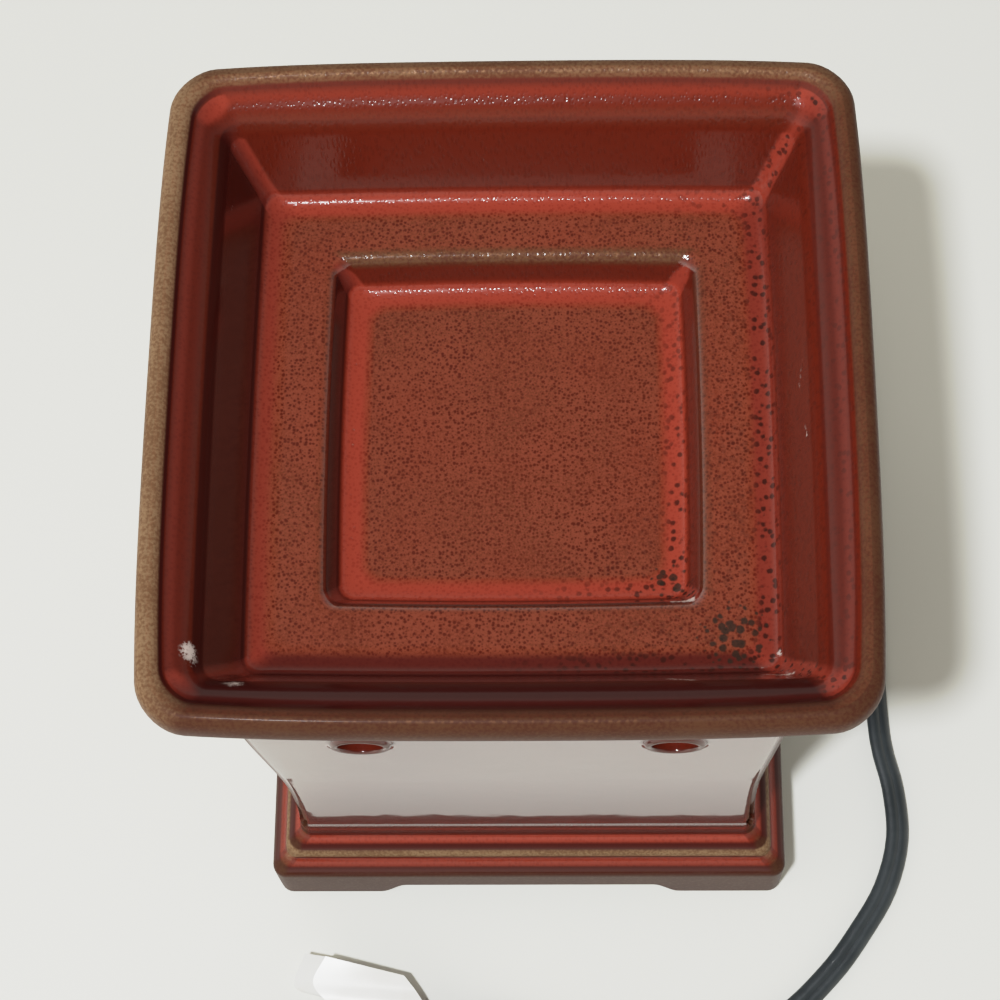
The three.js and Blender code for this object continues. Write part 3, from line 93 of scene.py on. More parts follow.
# Lead and its fittings
CORD_WIDE = 5.5
CORD_THICK = 2.8
SWITCH_PLACE = Vector((-66.0, -143.0, 0.3))
MOUTH_HEIGHT = 7.95
PLUG_PLACE = Vector((55.7, -162.5, 0.0))
PLUG_HEADING = 75.0
PLUG_HEIGHT = 7.8
COIL_MIDDLE = Vector((8.0, -164.0, 0.0))
COIL_RADIUS = 34.3
COIL_PITCH = 3.4
COIL_LAYER = 6.1
COIL_START = -90.0
COIL_TURN = 1830.0
COIL_HEIGHT = 4.15
TIE_PLACE = Vector((-21.98, -164.0, 7.2))
FOOT_OFFSET = 51.0


def clamped(value):
    return max(0.0, min(1.0, value))


def smooth_step(share):
    return share * share * (3 - 2 * share)


# Camera at the photograph's place
def aim_camera():
    turn = math.radians(4.288)
    height = math.radians(68.48)
    tilt = math.radians(-4.374)
    back = Vector((math.sin(turn) * math.cos(height), -math.cos(turn) * math.cos(height), math.sin(height)))
    level = Vector((math.cos(turn), math.sin(turn), 0.0))
    rise = back.cross(level)
    right = level * math.cos(tilt) + rise * math.sin(tilt)
    up = rise * math.cos(tilt) - level * math.sin(tilt)
    target = Vector((0.0, 0.0, 0.130))
    distance = 0.46802
    lens = bpy.data.cameras.new("view_from_above_the_front")
    lens.sensor_width = 36.0
    lens.lens = 87.68
    lens.shift_x = -0.01551
    lens.shift_y = -0.04263
    camera = bpy.data.objects.new("view_from_above_the_front", lens)
    scene.collection.objects.link(camera)
    turned = Matrix((right, up, back)).transposed().to_4x4()
    camera.matrix_world = Matrix.Translation(target + back * distance) @ turned
    scene.camera = camera


aim_camera()


# Shader helpers: each takes sockets or plain values, and a plain colour is red, green and blue
def feed(tree, socket, value):
    if isinstance(value, bpy.types.NodeSocket):
        tree.links.new(value, socket)
    elif socket.type == "RGBA":
        socket.default_value = (*value, 1.0)
    else:
        socket.default_value = value


def calc(tree, operation, first, second=0.0):
    made = tree.nodes.new("ShaderNodeMath")
    made.operation = operation
    feed(tree, made.inputs[0], first)
    feed(tree, made.inputs[1], second)
    return made.outputs[0]


def times(tree, first, second):
    return calc(tree, "MULTIPLY", first, second)


def plus(tree, first, second):
    return calc(tree, "ADD", first, second)


def vector_calc(tree, operation, first, second=(0.0, 0.0, 0.0), scale=1.0):
    made = tree.nodes.new("ShaderNodeVectorMath")
    made.operation = operation
    feed(tree, made.inputs[0], first)
    feed(tree, made.inputs[1], second)
    feed(tree, made.inputs[3], scale)
    return made.outputs[1 if operation in ("DOT_PRODUCT", "DISTANCE") else 0]


def eased(tree, value, low, high, start=0.0, end=1.0):
    made = tree.nodes.new("ShaderNodeMapRange")
    made.interpolation_type = "SMOOTHSTEP"
    for socket, given in zip(made.inputs, (value, low, high, start, end)):
        feed(tree, socket, given)
    return made.outputs[0]


def blended(tree, share, first, second):
    made = tree.nodes.new("ShaderNodeMix")
    made.data_type = "RGBA"
    feed(tree, made.inputs[0], share)
    feed(tree, made.inputs[6], first)
    feed(tree, made.inputs[7], second)
    return made.outputs[2]


def place_of(tree):
    return tree.nodes.new("ShaderNodeTexCoord").outputs["Object"]


def mapped(tree, vector, shift=(0.0, 0.0, 0.0), scale=(1.0, 1.0, 1.0)):
    made = tree.nodes.new("ShaderNodeMapping")
    made.vector_type = "POINT"
    feed(tree, made.inputs["Vector"], vector)
    feed(tree, made.inputs["Location"], shift)
    feed(tree, made.inputs["Scale"], scale)
    return made.outputs[0]


def clouds(tree, vector, scale, detail=2.0, rough=0.5):
    made = tree.nodes.new("ShaderNodeTexNoise")
    feed(tree, made.inputs["Vector"], vector)
    feed(tree, made.inputs["Scale"], scale)
    feed(tree, made.inputs["Detail"], detail)
    feed(tree, made.inputs["Roughness"], rough)
    return made.outputs[0]


def cells(tree, vector, scale, across="3D"):
    made = tree.nodes.new("ShaderNodeTexVoronoi")
    made.voronoi_dimensions = across
    feed(tree, made.inputs["Vector"], vector)
    feed(tree, made.inputs["Scale"], scale)
    return made


def attribute(tree, name):
    made = tree.nodes.new("ShaderNodeAttribute")
    made.attribute_name = name
    return made.outputs["Fac"]


def new_group(name, takes, gives):
    group = bpy.data.node_groups.new(name, "ShaderNodeTree")
    kinds = {"colour": "NodeSocketColor", "value": "NodeSocketFloat", "vector": "NodeSocketVector"}
    for label, kind in takes:
        group.interface.new_socket(name=label, in_out="INPUT", socket_type=kinds[kind])
    for label, kind in gives:
        group.interface.new_socket(name=label, in_out="OUTPUT", socket_type=kinds[kind])
    return group, group.nodes.new("NodeGroupInput"), group.nodes.new("NodeGroupOutput")


def placed_group(tree, group, **values):
    made = tree.nodes.new("ShaderNodeGroup")
    made.node_tree = group
    for label, value in values.items():
        feed(tree, made.inputs[label], value)
    return made


def new_finish(name, **settings):
    finish = bpy.data.materials.new(name)
    finish.use_nodes = True
    tree = finish.node_tree
    shader = tree.nodes["Principled BSDF"]
    for label, value in settings.items():
        shader.inputs[label.replace("_", " ")].default_value = value
    return finish, tree, shader


def wired(tree, node, **sockets):
    for label, socket in sockets.items():
        tree.links.new(socket, node.inputs[label.replace("_", " ")])


def bumped(tree, shader, height, strength, distance):
    made = tree.nodes.new("ShaderNodeBump")
    made.inputs["Strength"].default_value = strength
    made.inputs["Distance"].default_value = distance
    tree.links.new(height, made.inputs["Height"])
    tree.links.new(made.outputs[0], shader.inputs["Normal"])


# Light: one key from the front left, in a room that is bright round the sides and dim overhead
def light_studio():
    world = bpy.data.worlds.new("soft_room")
    world.use_nodes = True
    room = world.node_tree
    towards = room.nodes.new("ShaderNodeSeparateXYZ")
    room.links.new(room.nodes.new("ShaderNodeTexCoord").outputs["Generated"], towards.inputs[0])
    sides = eased(room, towards.outputs["Z"], 0.15, 0.88, 1.62, 0.15)
    leftward = eased(room, towards.outputs["X"], -1.0, 1.0, 1.65, 0.60)
    frontward = eased(room, towards.outputs["Y"], -1.0, 1.0, 1.0, 0.75)
    turned_light = times(room, leftward, frontward)
    room.links.new(times(room, sides, turned_light), room.nodes["Background"].inputs["Strength"])
    room.nodes["Background"].inputs["Color"].default_value = (1.0, 0.96, 0.86, 1.0)
    scene.world = world
    key = bpy.data.lights.new("key_lamp", "AREA")
    key.shape = "DISK"
    key.size = 0.075
    key.energy = 13.7
    key.color = (0.94, 0.97, 1.0)
    holder = bpy.data.objects.new("key_lamp", key)
    scene.collection.objects.link(holder)
    holder.location = (-0.190, -0.365, 1.150)
    holder.rotation_euler = holder.location.to_track_quat("Z", "Y").to_euler()
    scene.view_settings.view_transform = "Standard"


# Exposure: like the photograph's, it rolls off gently where the table is brightest
def set_exposure():
    scene.view_settings.use_curve_mapping = True
    curves = scene.view_settings.curve_mapping
    curves.white_level = (2.0, 2.0, 2.0)
    curves.use_clip = False
    roll_off = curves.curves[3]
    for bright, shown in ((0.2, 0.2), (0.3, 0.285), (0.5, 0.37), (0.65, 0.405), (0.8, 0.43)):
        roll_off.points.new(bright, shown * 2.0)
    roll_off.points[-1].location = (1.0, 0.91)
    curves.update()


light_studio()
set_exposure()


# Colours of the glaze, as it lies on flats, on walls, in hollows and on edges, and of the bare clay; the
# thick colours also serve as painted shade inside, and the gold as painted sheen on the rim
RUST_RED = (0.150, 0.0215, 0.0085)
RUST_BROWN = (0.125, 0.0260, 0.0105)
RUST_LIGHT = (0.212, 0.0430, 0.0210)
RUST_SPOT = (0.070, 0.0070, 0.0025)
WALL_RED = (0.115, 0.0125, 0.0050)
WALL_SPOT = (0.060, 0.0060, 0.0025)
WALL_THICK_AND_SHADE = (0.028, 0.0040, 0.0034)
CORAL = (0.275, 0.036, 0.0200)
CORAL_SPOT = (0.150, 0.0120, 0.0060)
CORAL_THICK_AND_SHADE = (0.045, 0.0060, 0.0050)
CLOT = (0.030, 0.006, 0.004)
BRONZE_DARK = (0.070, 0.0240, 0.0125)
BRONZE_LIGHT = (0.112, 0.0530, 0.0250)
BRONZE_THICK_AND_SHADE = (0.034, 0.0125, 0.0075)
GOLD_AND_SHEEN_DARK = (0.150, 0.0830, 0.0420)
GOLD_AND_SHEEN_LIGHT = (0.270, 0.1720, 0.0950)
CLAY_DARK = (0.42, 0.33, 0.24)
CLAY_LIGHT = (0.60, 0.50, 0.39)


# Breaking glaze: coral where it pools in hollows, bronze where it thins on edges, curdled dark spots between
def glaze_group():
    group, takes, gives = new_group(
        "breaking_glaze",
        [("Depth", "value"), ("Steep", "value"), ("Bare", "value"), ("Thick", "value"), ("Curd", "value"),
         ("Gilt", "value"), ("Gloss", "value")],
        [("Colour", "colour"), ("Roughness", "value"), ("Metal", "value"), ("Coat", "value"),
         ("Height", "value")],
    )
    depth, steep, bare = (takes.outputs[name] for name in ("Depth", "Steep", "Bare"))
    thick, curd = takes.outputs["Thick"], takes.outputs["Curd"]
    place = place_of(group)
    drift = clouds(group, place, 24.0, 3.0)
    patch = clouds(group, mapped(group, place, (0.3, 0.1, 0.7)), 75.0, 3.0)
    wander = clouds(group, place, 1300.0, 2.0)
    fine = cells(group, place, 1250.0, "2D")
    sizes = group.nodes.new("ShaderNodeSeparateColor")
    group.links.new(fine.outputs["Color"], sizes.inputs[0])
    fine_edge = plus(group, fine.outputs["Distance"], times(group, wander, 0.50))
    fine_edge = calc(group, "SUBTRACT", fine_edge, times(group, sizes.outputs[0], 0.34))
    spots = eased(group, fine_edge, 0.12, 0.52, 1.0, 0.0)
    specks = clouds(group, mapped(group, place, (0.4, 0.6, 0.2)), 2300.0, 2.0, 0.6)
    spots = times(group, spots, eased(group, patch, 0.30, 0.62, 0.70, 1.0))
    net = eased(group, plus(group, specks, times(group, patch, 0.4)), 0.50, 0.85)
    coarse = cells(group, mapped(group, place, (0.13, 0.37, 0.59)), 640.0)
    coarse_edge = plus(group, coarse.outputs["Distance"], times(group, wander, 0.35))
    clots = times(group, eased(group, coarse_edge, 0.40, 0.62, 1.0, 0.0), curd)
    warm = blended(group, eased(group, drift, 0.35, 0.66), RUST_RED, RUST_BROWN)
    warm = blended(group, times(group, net, 0.75), warm, RUST_LIGHT)
    flat = blended(group, times(group, spots, 0.95), warm, RUST_SPOT)
    wall_red = blended(group, times(group, spots, 0.3), WALL_RED, WALL_SPOT)
    # The thick colours darken thick glaze outside, and paint shade on the near, left and right sides inside
    wall = blended(group, thick, wall_red, WALL_THICK_AND_SHADE)
    sloped = blended(group, eased(group, steep, 0.35, 0.85), flat, wall)
    pooled = eased(group, depth, 0.06, 0.34)
    coral = blended(group, times(group, spots, 0.35), CORAL, CORAL_SPOT)
    coral = blended(group, times(group, thick, 0.90), coral, CORAL_THICK_AND_SHADE)
    filled = blended(group, times(group, pooled, 0.95), sloped, coral)
    clotted = times(group, clots, eased(group, depth, 0.0, 0.45, 0.25, 0.95))
    filled = blended(group, clotted, filled, CLOT)
    thinned = eased(group, times(group, depth, -1.0), 0.08, 0.52)
    grain = clouds(group, mapped(group, place, (0.2, 0.9, 0.4)), 1700.0, 2.0)
    sheen = eased(group, plus(group, grain, times(group, patch, 0.5)), 0.55, 0.95)
    bronze = blended(group, sheen, BRONZE_DARK, BRONZE_LIGHT)
    bronze = blended(group, times(group, thick, 0.85), bronze, BRONZE_THICK_AND_SHADE)
    # Gold: glaze thinned on the plinth step, and painted sheen on the left and far sides of the rim bead
    gold_and_sheen = blended(group, sheen, GOLD_AND_SHEEN_DARK, GOLD_AND_SHEEN_LIGHT)
    bronze = blended(group, takes.outputs["Gilt"], bronze, gold_and_sheen)
    edged = blended(group, times(group, thinned, 0.86), filled, bronze)
    clay_grain = clouds(group, place, 500.0, 3.0, 0.7)
    clay = blended(group, clay_grain, CLAY_DARK, CLAY_LIGHT)
    link = group.links.new
    link(blended(group, bare, edged, clay), gives.inputs["Colour"])
    rough = plus(group, 0.30, times(group, thinned, 0.14))
    link(plus(group, rough, times(group, bare, 0.5)), gives.inputs["Roughness"])
    covered = calc(group, "SUBTRACT", 1.0, bare)
    glint = times(group, thinned, eased(group, grain, 0.50, 0.72, 0.03, 0.30))
    link(times(group, glint, covered), gives.inputs["Metal"])
    coat = calc(group, "SUBTRACT", 1.0, times(group, thinned, 0.90))
    coat = times(group, coat, takes.outputs["Gloss"])
    link(times(group, covered, coat), gives.inputs["Coat"])
    ripple = times(group, clouds(group, place, 70.0, 2.0), 0.8)
    sunk = eased(group, thick, 0.1, 0.6, -0.30, -0.01)
    relief = times(group, plus(group, spots, clots), sunk)
    height = plus(group, ripple, relief)
    link(plus(group, height, times(group, clay_grain, bare)), gives.inputs["Height"])
    return group


GLAZE = glaze_group()
GLAZE_LAYERS = ("depth", "steep", "bare", "thick", "curd", "gilt", "gloss")


# Scuff: a ragged mark along a line between two places
def scuff_group():
    group, takes, gives = new_group(
        "scuff", [("From", "vector"), ("To", "vector"), ("Width", "value")], [("Mask", "value")])
    place = place_of(group)
    reach = vector_calc(group, "SUBTRACT", takes.outputs["To"], takes.outputs["From"])
    offset = vector_calc(group, "SUBTRACT", place, takes.outputs["From"])
    size = vector_calc(group, "DOT_PRODUCT", reach, reach)
    along = calc(group, "DIVIDE", vector_calc(group, "DOT_PRODUCT", offset, reach), size)
    along = calc(group, "MAXIMUM", calc(group, "MINIMUM", along, 1.0), 0.0)
    nearest = vector_calc(group, "SCALE", reach, scale=along)
    gap = vector_calc(group, "DISTANCE", offset, nearest)
    ragged = clouds(group, place, 1500.0, 3.0, 0.7)
    near = eased(group, calc(group, "DIVIDE", gap, takes.outputs["Width"]), 0.3, 1.0, 1.0, 0.0)
    broken = eased(group, plus(group, ragged, times(group, near, 0.22)), 0.56, 0.70)
    group.links.new(times(group, near, broken), gives.inputs["Mask"])
    return group


SCUFF = scuff_group()

BLOT_DARK = (0.020, 0.0125, 0.0085)
SCUFF_PALE = (0.62, 0.52, 0.47)
# Scuffs in the dish, from place to place in millimetres, and how wide they are
DISH_SCUFFS = [
    ((-55.0, -49.0, 164.5), (-47.0, -53.5, 164.0), 2.6), ((54.0, 10.0, 159.0), (53.0, 3.0, 157.0), 1.0),
    ((53.5, -4.0, 158.0), (53.5, -7.5, 159.0), 0.8), ((34.0, 15.0, 145.2), (34.0, 11.0, 145.2), 0.6),
    ((34.0, 3.4, 145.2), (34.0, 0.3, 145.2), 0.6), ((48.0, 11.0, 148.0), (48.0, 7.5, 148.0), 0.7),
    ((-50.5, 45.7, 157.0), (-52.0, 39.3, 159.0), 0.9), ((-50.6, 19.0, 155.0), (-50.8, 15.6, 156.0), 0.7),
    ((-52.5, 6.6, 160.0), (-52.5, -0.4, 160.0), 0.7), ((28.0, 50.5, 156.0), (32.0, 51.0, 157.5), 0.9),
    ((28.0, -51.5, 158.0), (31.5, -52.5, 161.0), 2.0), ((45.0, -49.5, 152.0), (49.0, -50.5, 155.0), 1.1),
    ((29.0, -33.6, 144.6), (32.6, -33.6, 144.6), 1.1), ((44.5, -46.6, 147.2), (47.5, -44.5, 147.4), 1.1),
]
# Curdled patches: middle in millimetres and how far they spread
DISH_PATCHES = [((40.0, -41.0, 145.9), 11.5), ((29.0, -28.5, 139.0), 7.0)]


def dish_wear(tree, glaze):
    pale = 0.0
    for start, end, width in DISH_SCUFFS:
        ends = {"From": Vector(start) * MM, "To": Vector(end) * MM}
        scuff = placed_group(tree, SCUFF, Width=width * MM, **ends)
        pale = calc(tree, "MAXIMUM", pale, scuff.outputs["Mask"])
    place = place_of(tree)
    blots = cells(tree, mapped(tree, place, (0.05, 0.02, 0.0)), 520.0, "2D").outputs["Distance"]
    blots = plus(tree, blots, times(tree, clouds(tree, place, 900.0), 0.35))
    dark = 0.0
    for middle, spread in DISH_PATCHES:
        gap = vector_calc(tree, "DISTANCE", place, Vector(middle) * MM)
        close = eased(tree, gap, 0.10 * spread * MM, spread * MM, 0.66, 0.0)
        spotted = eased(tree, calc(tree, "SUBTRACT", blots, close), -0.16, 0.04, 1.0, 0.0)
        dark = calc(tree, "MAXIMUM", dark, spotted)
    colour = blended(tree, times(tree, dark, 0.88), glaze["Colour"], BLOT_DARK)
    colour = blended(tree, times(tree, pale, 0.80), colour, SCUFF_PALE)
    kept = calc(tree, "SUBTRACT", 1.0, times(tree, pale, 0.8))
    return {
        "Colour": colour, "Coat": times(tree, glaze["Coat"], kept),
        "Roughness": plus(tree, glaze["Roughness"], times(tree, pale, 0.25))}


def glaze_finish(name, coat_roughness, coat_ior, wear=None):
    finish, tree, shader = new_finish(
        name, Coat_Roughness=coat_roughness, Coat_IOR=coat_ior, IOR=1.45, Specular_IOR_Level=0.05)
    made = placed_group(tree, GLAZE, **{layer.title(): attribute(tree, layer) for layer in GLAZE_LAYERS})
    glaze = {output.name: output for output in made.outputs}
    if wear:
        glaze.update(wear(tree, glaze))
    wired(tree, shader, Base_Color=glaze["Colour"], Roughness=glaze["Roughness"], Metallic=glaze["Metal"],
          Coat_Weight=glaze["Coat"])
    bumped(tree, shader, glaze["Height"], 0.4, 0.0002)
    tree.links.new(shader.inputs["Normal"].links[0].from_socket, shader.inputs["Coat Normal"])
    return finish


# Moulded plastic and rubber: a soft grain, a little dust and handling wear
def moulding_group():
    group, takes, gives = new_group(
        "moulded_skin",
        [("Dark", "colour"), ("Light", "colour"), ("Grain", "value"), ("Shine", "value")],
        [("Colour", "colour"), ("Roughness", "value"), ("Height", "value")],
    )
    place = place_of(group)
    cloud = clouds(group, place, 70.0, 4.0, 0.6)
    grain = clouds(group, place, takes.outputs["Grain"], 3.0, 0.6)
    mixed = blended(group, eased(group, cloud, 0.35, 0.72), takes.outputs["Dark"], takes.outputs["Light"])
    rough = plus(group, takes.outputs["Shine"], times(group, grain, 0.18))
    wired(group, gives, Colour=mixed, Roughness=rough, Height=grain)
    return group


MOULDED = moulding_group()


def moulded_finish(name, dark, light, grain=1400.0, shine=0.35, depth=0.00005):
    finish, tree, shader = new_finish(name)
    skin = placed_group(tree, MOULDED, Dark=dark, Light=light, Grain=grain, Shine=shine)
    wired(tree, shader, Base_Color=skin.outputs["Colour"], Roughness=skin.outputs["Roughness"])
    bumped(tree, shader, skin.outputs["Height"], 0.4, depth)
    return finish


lead_finish = moulded_finish(
    "lead_black", (0.016, 0.021, 0.024), (0.030, 0.037, 0.041), 900.0, 0.30)
moulding_finish = moulded_finish(
    "fitting_black", (0.013, 0.015, 0.017), (0.024, 0.027, 0.030), 1800.0, 0.36)
pad_finish = moulded_finish(
    "soft_black_rubber", (0.018, 0.018, 0.018), (0.042, 0.041, 0.039), 2400.0, 0.62)
phenolic_finish = moulded_finish(
    "holder_phenolic", (0.011, 0.010, 0.010), (0.026, 0.023, 0.021), 700.0, 0.24)


# A drawn shape becomes an object in the scene
def loose_object(bm, name):
    mesh = bpy.data.meshes.new(name)
    bm.to_mesh(mesh)
    bm.free()
    made = bpy.data.objects.new(name, mesh)
    scene.collection.objects.link(made)
    return made


# Finishing a piece: millimetres become metres, faces are smoothed and the piece is set on its body
def finished(bm, name, body, finish, stands_for, sharp=38.0):
    bmesh.ops.scale(bm, vec=(MM, MM, MM), verts=bm.verts[:])
    piece = loose_object(bm, name)
    piece.data.shade_smooth()
    piece.data.set_sharp_from_angle(angle=math.radians(sharp))
    piece.data.materials.append(finish)
    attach(piece, body)
    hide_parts(*stands_for)
    return piece


# Mesh helpers: an open edge is drawn out into a new ring, and both ends of a drawn shape are closed
def new_parts(made, kind):
    return [part for part in made if isinstance(part, kind)]


def drawn_out(bm, edges):
    made = bmesh.ops.extrude_edge_only(bm, edges=edges)["geom"]
    verts = new_parts(made, bmesh.types.BMVert)
    kept = set(verts)
    return verts, [edge for edge in new_parts(made, bmesh.types.BMEdge) if kept.issuperset(edge.verts)]


def outward(bm):
    bmesh.ops.recalc_face_normals(bm, faces=bm.faces[:])
    return bm


def capped(bm, first, last):
    bmesh.ops.edgeloop_fill(bm, edges=first)
    bmesh.ops.edgeloop_fill(bm, edges=last)
    return outward(bm)


def faces_of(verts):
    return list({face for vert in verts for face in vert.link_faces})


# Lead: a flat twin section swept along its route
def rest_height(roll):
    clearance = 0.15
    return clearance + CORD_THICK / 2 + (CORD_WIDE - CORD_THICK) / 2 * abs(math.sin(math.radians(roll)))


def smooth_route(stops, spacing=3.0):
    places = [Vector((x, y, rest_height(roll) if z is None else z)) for x, y, z, roll in stops]
    rolls = [stop[3] for stop in stops]
    ahead = places[-1] * 2 - places[-2]
    line = [places[0] * 2 - places[1], *places, ahead]
    route = []
    for index in range(len(places) - 1):
        before, start, end, after = line[index:index + 4]
        gaps = [(b - a).length ** 0.5 for a, b in ((before, start), (start, end), (end, after))]
        leave = (start - before) / gaps[0] - (end - before) / (gaps[0] + gaps[1]) + (end - start) / gaps[1]
        reach = (end - start) / gaps[1] - (after - start) / (gaps[1] + gaps[2]) + (after - end) / gaps[2]
        count = max(2, math.ceil((end - start).length / spacing))
        bend = interpolate_bezier(
            start, start + leave * gaps[1] / 3, end - reach * gaps[1] / 3, end, count + 1)
        for step, point in enumerate(bend[:-1]):
            share = step / count
            route.append((point, rolls[index] + (rolls[index + 1] - rolls[index]) * share))
    route.append((places[-1], rolls[-1]))
    return route


def cord_frames(route):
    frames = []
    for index, (point, roll) in enumerate(route):
        before = route[max(0, index - 1)][0]
        after = route[min(len(route) - 1, index + 1)][0]
        ahead = (after - before).normalized()
        side = ahead.cross(Vector((0.0, 0.0, 1.0))).normalized()
        up = side.cross(ahead)
        lean = math.radians(roll)
        wide = side * math.cos(lean) + up * math.sin(lean)
        thin = ahead.cross(wide)
        frames.append(Matrix.Translation(point) @ Matrix((wide, thin, ahead)).transposed().to_4x4())
    return frames


def swept_cord(route):
    groove_half, groove_depth = 0.55, 0.30
    frames = cord_frames(route)
    bm = bmesh.new()
    bmesh.ops.create_circle(bm, cap_ends=False, segments=28, radius=1.0)
    for vert in bm.verts:
        width = vert.co.x * CORD_WIDE / 2
        waist = math.exp(-(width / groove_half) ** 2)
        vert.co.y *= CORD_THICK / 2 * (1.0 - groove_depth * waist)
        vert.co.x = width
    bmesh.ops.transform(bm, matrix=frames[0], verts=bm.verts[:])
    first = bm.edges[:]
    edges = first
    for before, after in zip(frames, frames[1:]):
        verts, edges = drawn_out(bm, edges)
        bmesh.ops.transform(bm, matrix=after @ before.inverted(), verts=verts)
    return capped(bm, first, edges)


# Stops along the lead: place, with the height left open where it lies on the table, and roll in degrees.
# It runs from the bushing at the back, round the right side and across the front to the switch
LEAD_STOPS = [
    (0.0, 82.2, NOTCH_HEIGHT, 0.0), (0.0, 91.0, NOTCH_HEIGHT, 0.0), (0.0, 102.0, 12.6, 0.0),
    (0.8, 113.0, 5.6, 0.0),
    (4.6, 123.5, None, 6.0), (13.0, 132.5, None, 12.0), (25.0, 137.3, None, 18.0), (39.0, 137.6, None, 22.0),
    (53.0, 132.8, None, 24.0), (65.0, 123.0, None, 24.0), (73.4, 109.0, None, 24.0),
    (79.4, 82.0, None, 24.0), (82.2, 25.0, None, 22.0), (82.9, -22.5, None, 20.0),
    (85.2, -34.0, None, 18.0), (85.6, -46.0, None, 16.0),
    (82.2, -57.5, None, 13.0), (76.2, -67.3, None, 10.0), (68.5, -77.2, None, 6.0), (56.0, -88.0, None, 3.0),
    (36.0, -94.4, None, 0.0), (10.0, -91.2, None, 0.0), (-10.0, -87.0, 2.2, 0.0), (-25.0, -86.4, 3.6, 0.0),
    (-35.0, -86.4, 3.6, 0.0), (-45.0, -87.0, 3.2, 0.0), (-57.0, -93.0, 4.6, 0.0), (-64.5, -103.5, 6.9, 0.0),
    (-66.0, -111.8, MOUTH_HEIGHT, 0.0), (-66.0, -118.6, MOUTH_HEIGHT, 0.0),
]


def coil_point(sweep):
    half = COIL_TURN / 2
    angle = math.radians(COIL_START + sweep)
    radius = COIL_RADIUS - COIL_PITCH / 360 * (half - abs(half - sweep))
    climb = smooth_step(clamped((sweep - half + 90) / 180))
    off_tie = (1.0 - math.cos(angle - math.pi)) / 2
    settle = 1.2 * min(1.0, 3.0 * off_tie)
    height = COIL_HEIGHT + COIL_LAYER * climb - settle
    return COIL_MIDDLE + Vector((radius * math.cos(angle), radius * math.sin(angle), height))


def coil_route():
    steps = round(COIL_TURN / 360 * 36)
    return [(coil_point(COIL_TURN * step / steps), 90.0) for step in range(steps + 1)]


LINK_STOPS = [
    (-66.0, -167.4, MOUTH_HEIGHT, 0.0), (-66.0, -172.0, MOUTH_HEIGHT, 0.0), (-65.2, -178.0, 7.2, 8.0),
    (-60.4, -189.0, 4.8, 30.0), (-46.0, -197.4, 3.4, 60.0), (-20.0, -198.3, 3.0, 88.0),
    (2.2, -198.3, 3.0, 90.0),
]
TAIL_STOPS = [
    (30.17, -190.81, COIL_HEIGHT + COIL_LAYER, 90.0), (34.93, -188.06, COIL_HEIGHT + COIL_LAYER, 80.0),
    (46.6, -178.9, 8.9, 30.0), (54.2, -168.1, PLUG_HEIGHT, 0.0), (55.90, -161.73, PLUG_HEIGHT, 0.0),
]

lead_route = smooth_route(LEAD_STOPS)
flat_lead = finished(
    swept_cord(lead_route), "flat_lead", "column", lead_finish, ["cord_lead"])
coil_run = smooth_route(LINK_STOPS) + coil_route() + smooth_route(TAIL_STOPS)
coiled_lead = finished(
    swept_cord(coil_run), "coiled_lead", "column", lead_finish,
    ["cord_link", "cord_coil", "cord_tail"])


# Glazed ware: a square ring is drawn out step by step along the cross section of the piece
def drawn(start, *moves, bend_steps=9, longest=4.0):
    points = [Vector(start)]
    for move in moves:
        begin = points[-1]
        end = Vector(move[-2:])
        if len(move) == 4:
            guide = Vector(move[:2])
            for step in range(1, bend_steps + 1):
                share = step / bend_steps
                points.append(begin.lerp(guide, share).lerp(guide.lerp(end, share), share))
            continue
        length = (end - begin).length
        marks = [mark for mark in (0.7, 1.6, 3.0) if mark < length / 2 - 0.3]
        inside = marks[-1] if marks else 0.0
        count = max(1, math.ceil((length - 2 * inside) / longest))
        stops = marks[:-1] + [inside + (length - 2 * inside) * step / count for step in range(count + 1)]
        stops += [length - mark for mark in reversed(marks[:-1])]
        stops = [stop for stop in stops if 0.05 < stop < length - 0.05] + [length]
        points += [begin.lerp(end, stop / length) for stop in stops]
    return points


# How far the glaze gathers: above nought in a hollow bend, below nought on a sharp edge
def pooling(points, hollow_spread=1.8, edge_spread=1.05):
    run = [0.0]
    for before, after in zip(points, points[1:]):
        run.append(run[-1] + (after - before).length)
    turns = [0.0]
    for before, here, after in zip(points, points[1:], points[2:]):
        turns.append((here - before).angle_signed(after - here))
    turns.append(0.0)
    depths = []
    for place in run:
        depth = 0.0
        for turn, spot in zip(turns, run):
            spread = hollow_spread if turn > 0 else edge_spread
            depth += 0.64 * turn * math.exp(-((place - spot) / spread) ** 2 / 2)
        depths.append(depth)
    return depths


def no_thinning(point):
    return 0.0


# Each section is its points, a rule for the corner radius, inside (1) or outside (-1), bare clay (1) or
# glazed (0), and a rule for how far the glaze has run off
def rings_of(sections):
    points = []
    marks = []
    for outline, corner_rule, fold, bare, thinning in sections:
        fresh = outline[1:] if points else outline
        points += fresh
        marks += [(corner_rule, fold, bare, thinning)] * len(fresh)
    rings = []
    depths = pooling(points)
    for index, point in enumerate(points):
        before = points[max(0, index - 1)]
        after = points[min(len(points) - 1, index + 1)]
        steep = abs(after.y - before.y) / max(1e-6, (after - before).length)
        corner_rule, fold, bare, thinning = marks[index]
        rings.append({
            "half": point.x, "height": point.y, "corner": corner_rule(point.x), "steep": steep,
            "depth": depths[index] - thinning(point), "fold": fold, "bare": bare})
    return rings


# Along each side the points may crowd together where a curve needs them
def even(share):
    return share


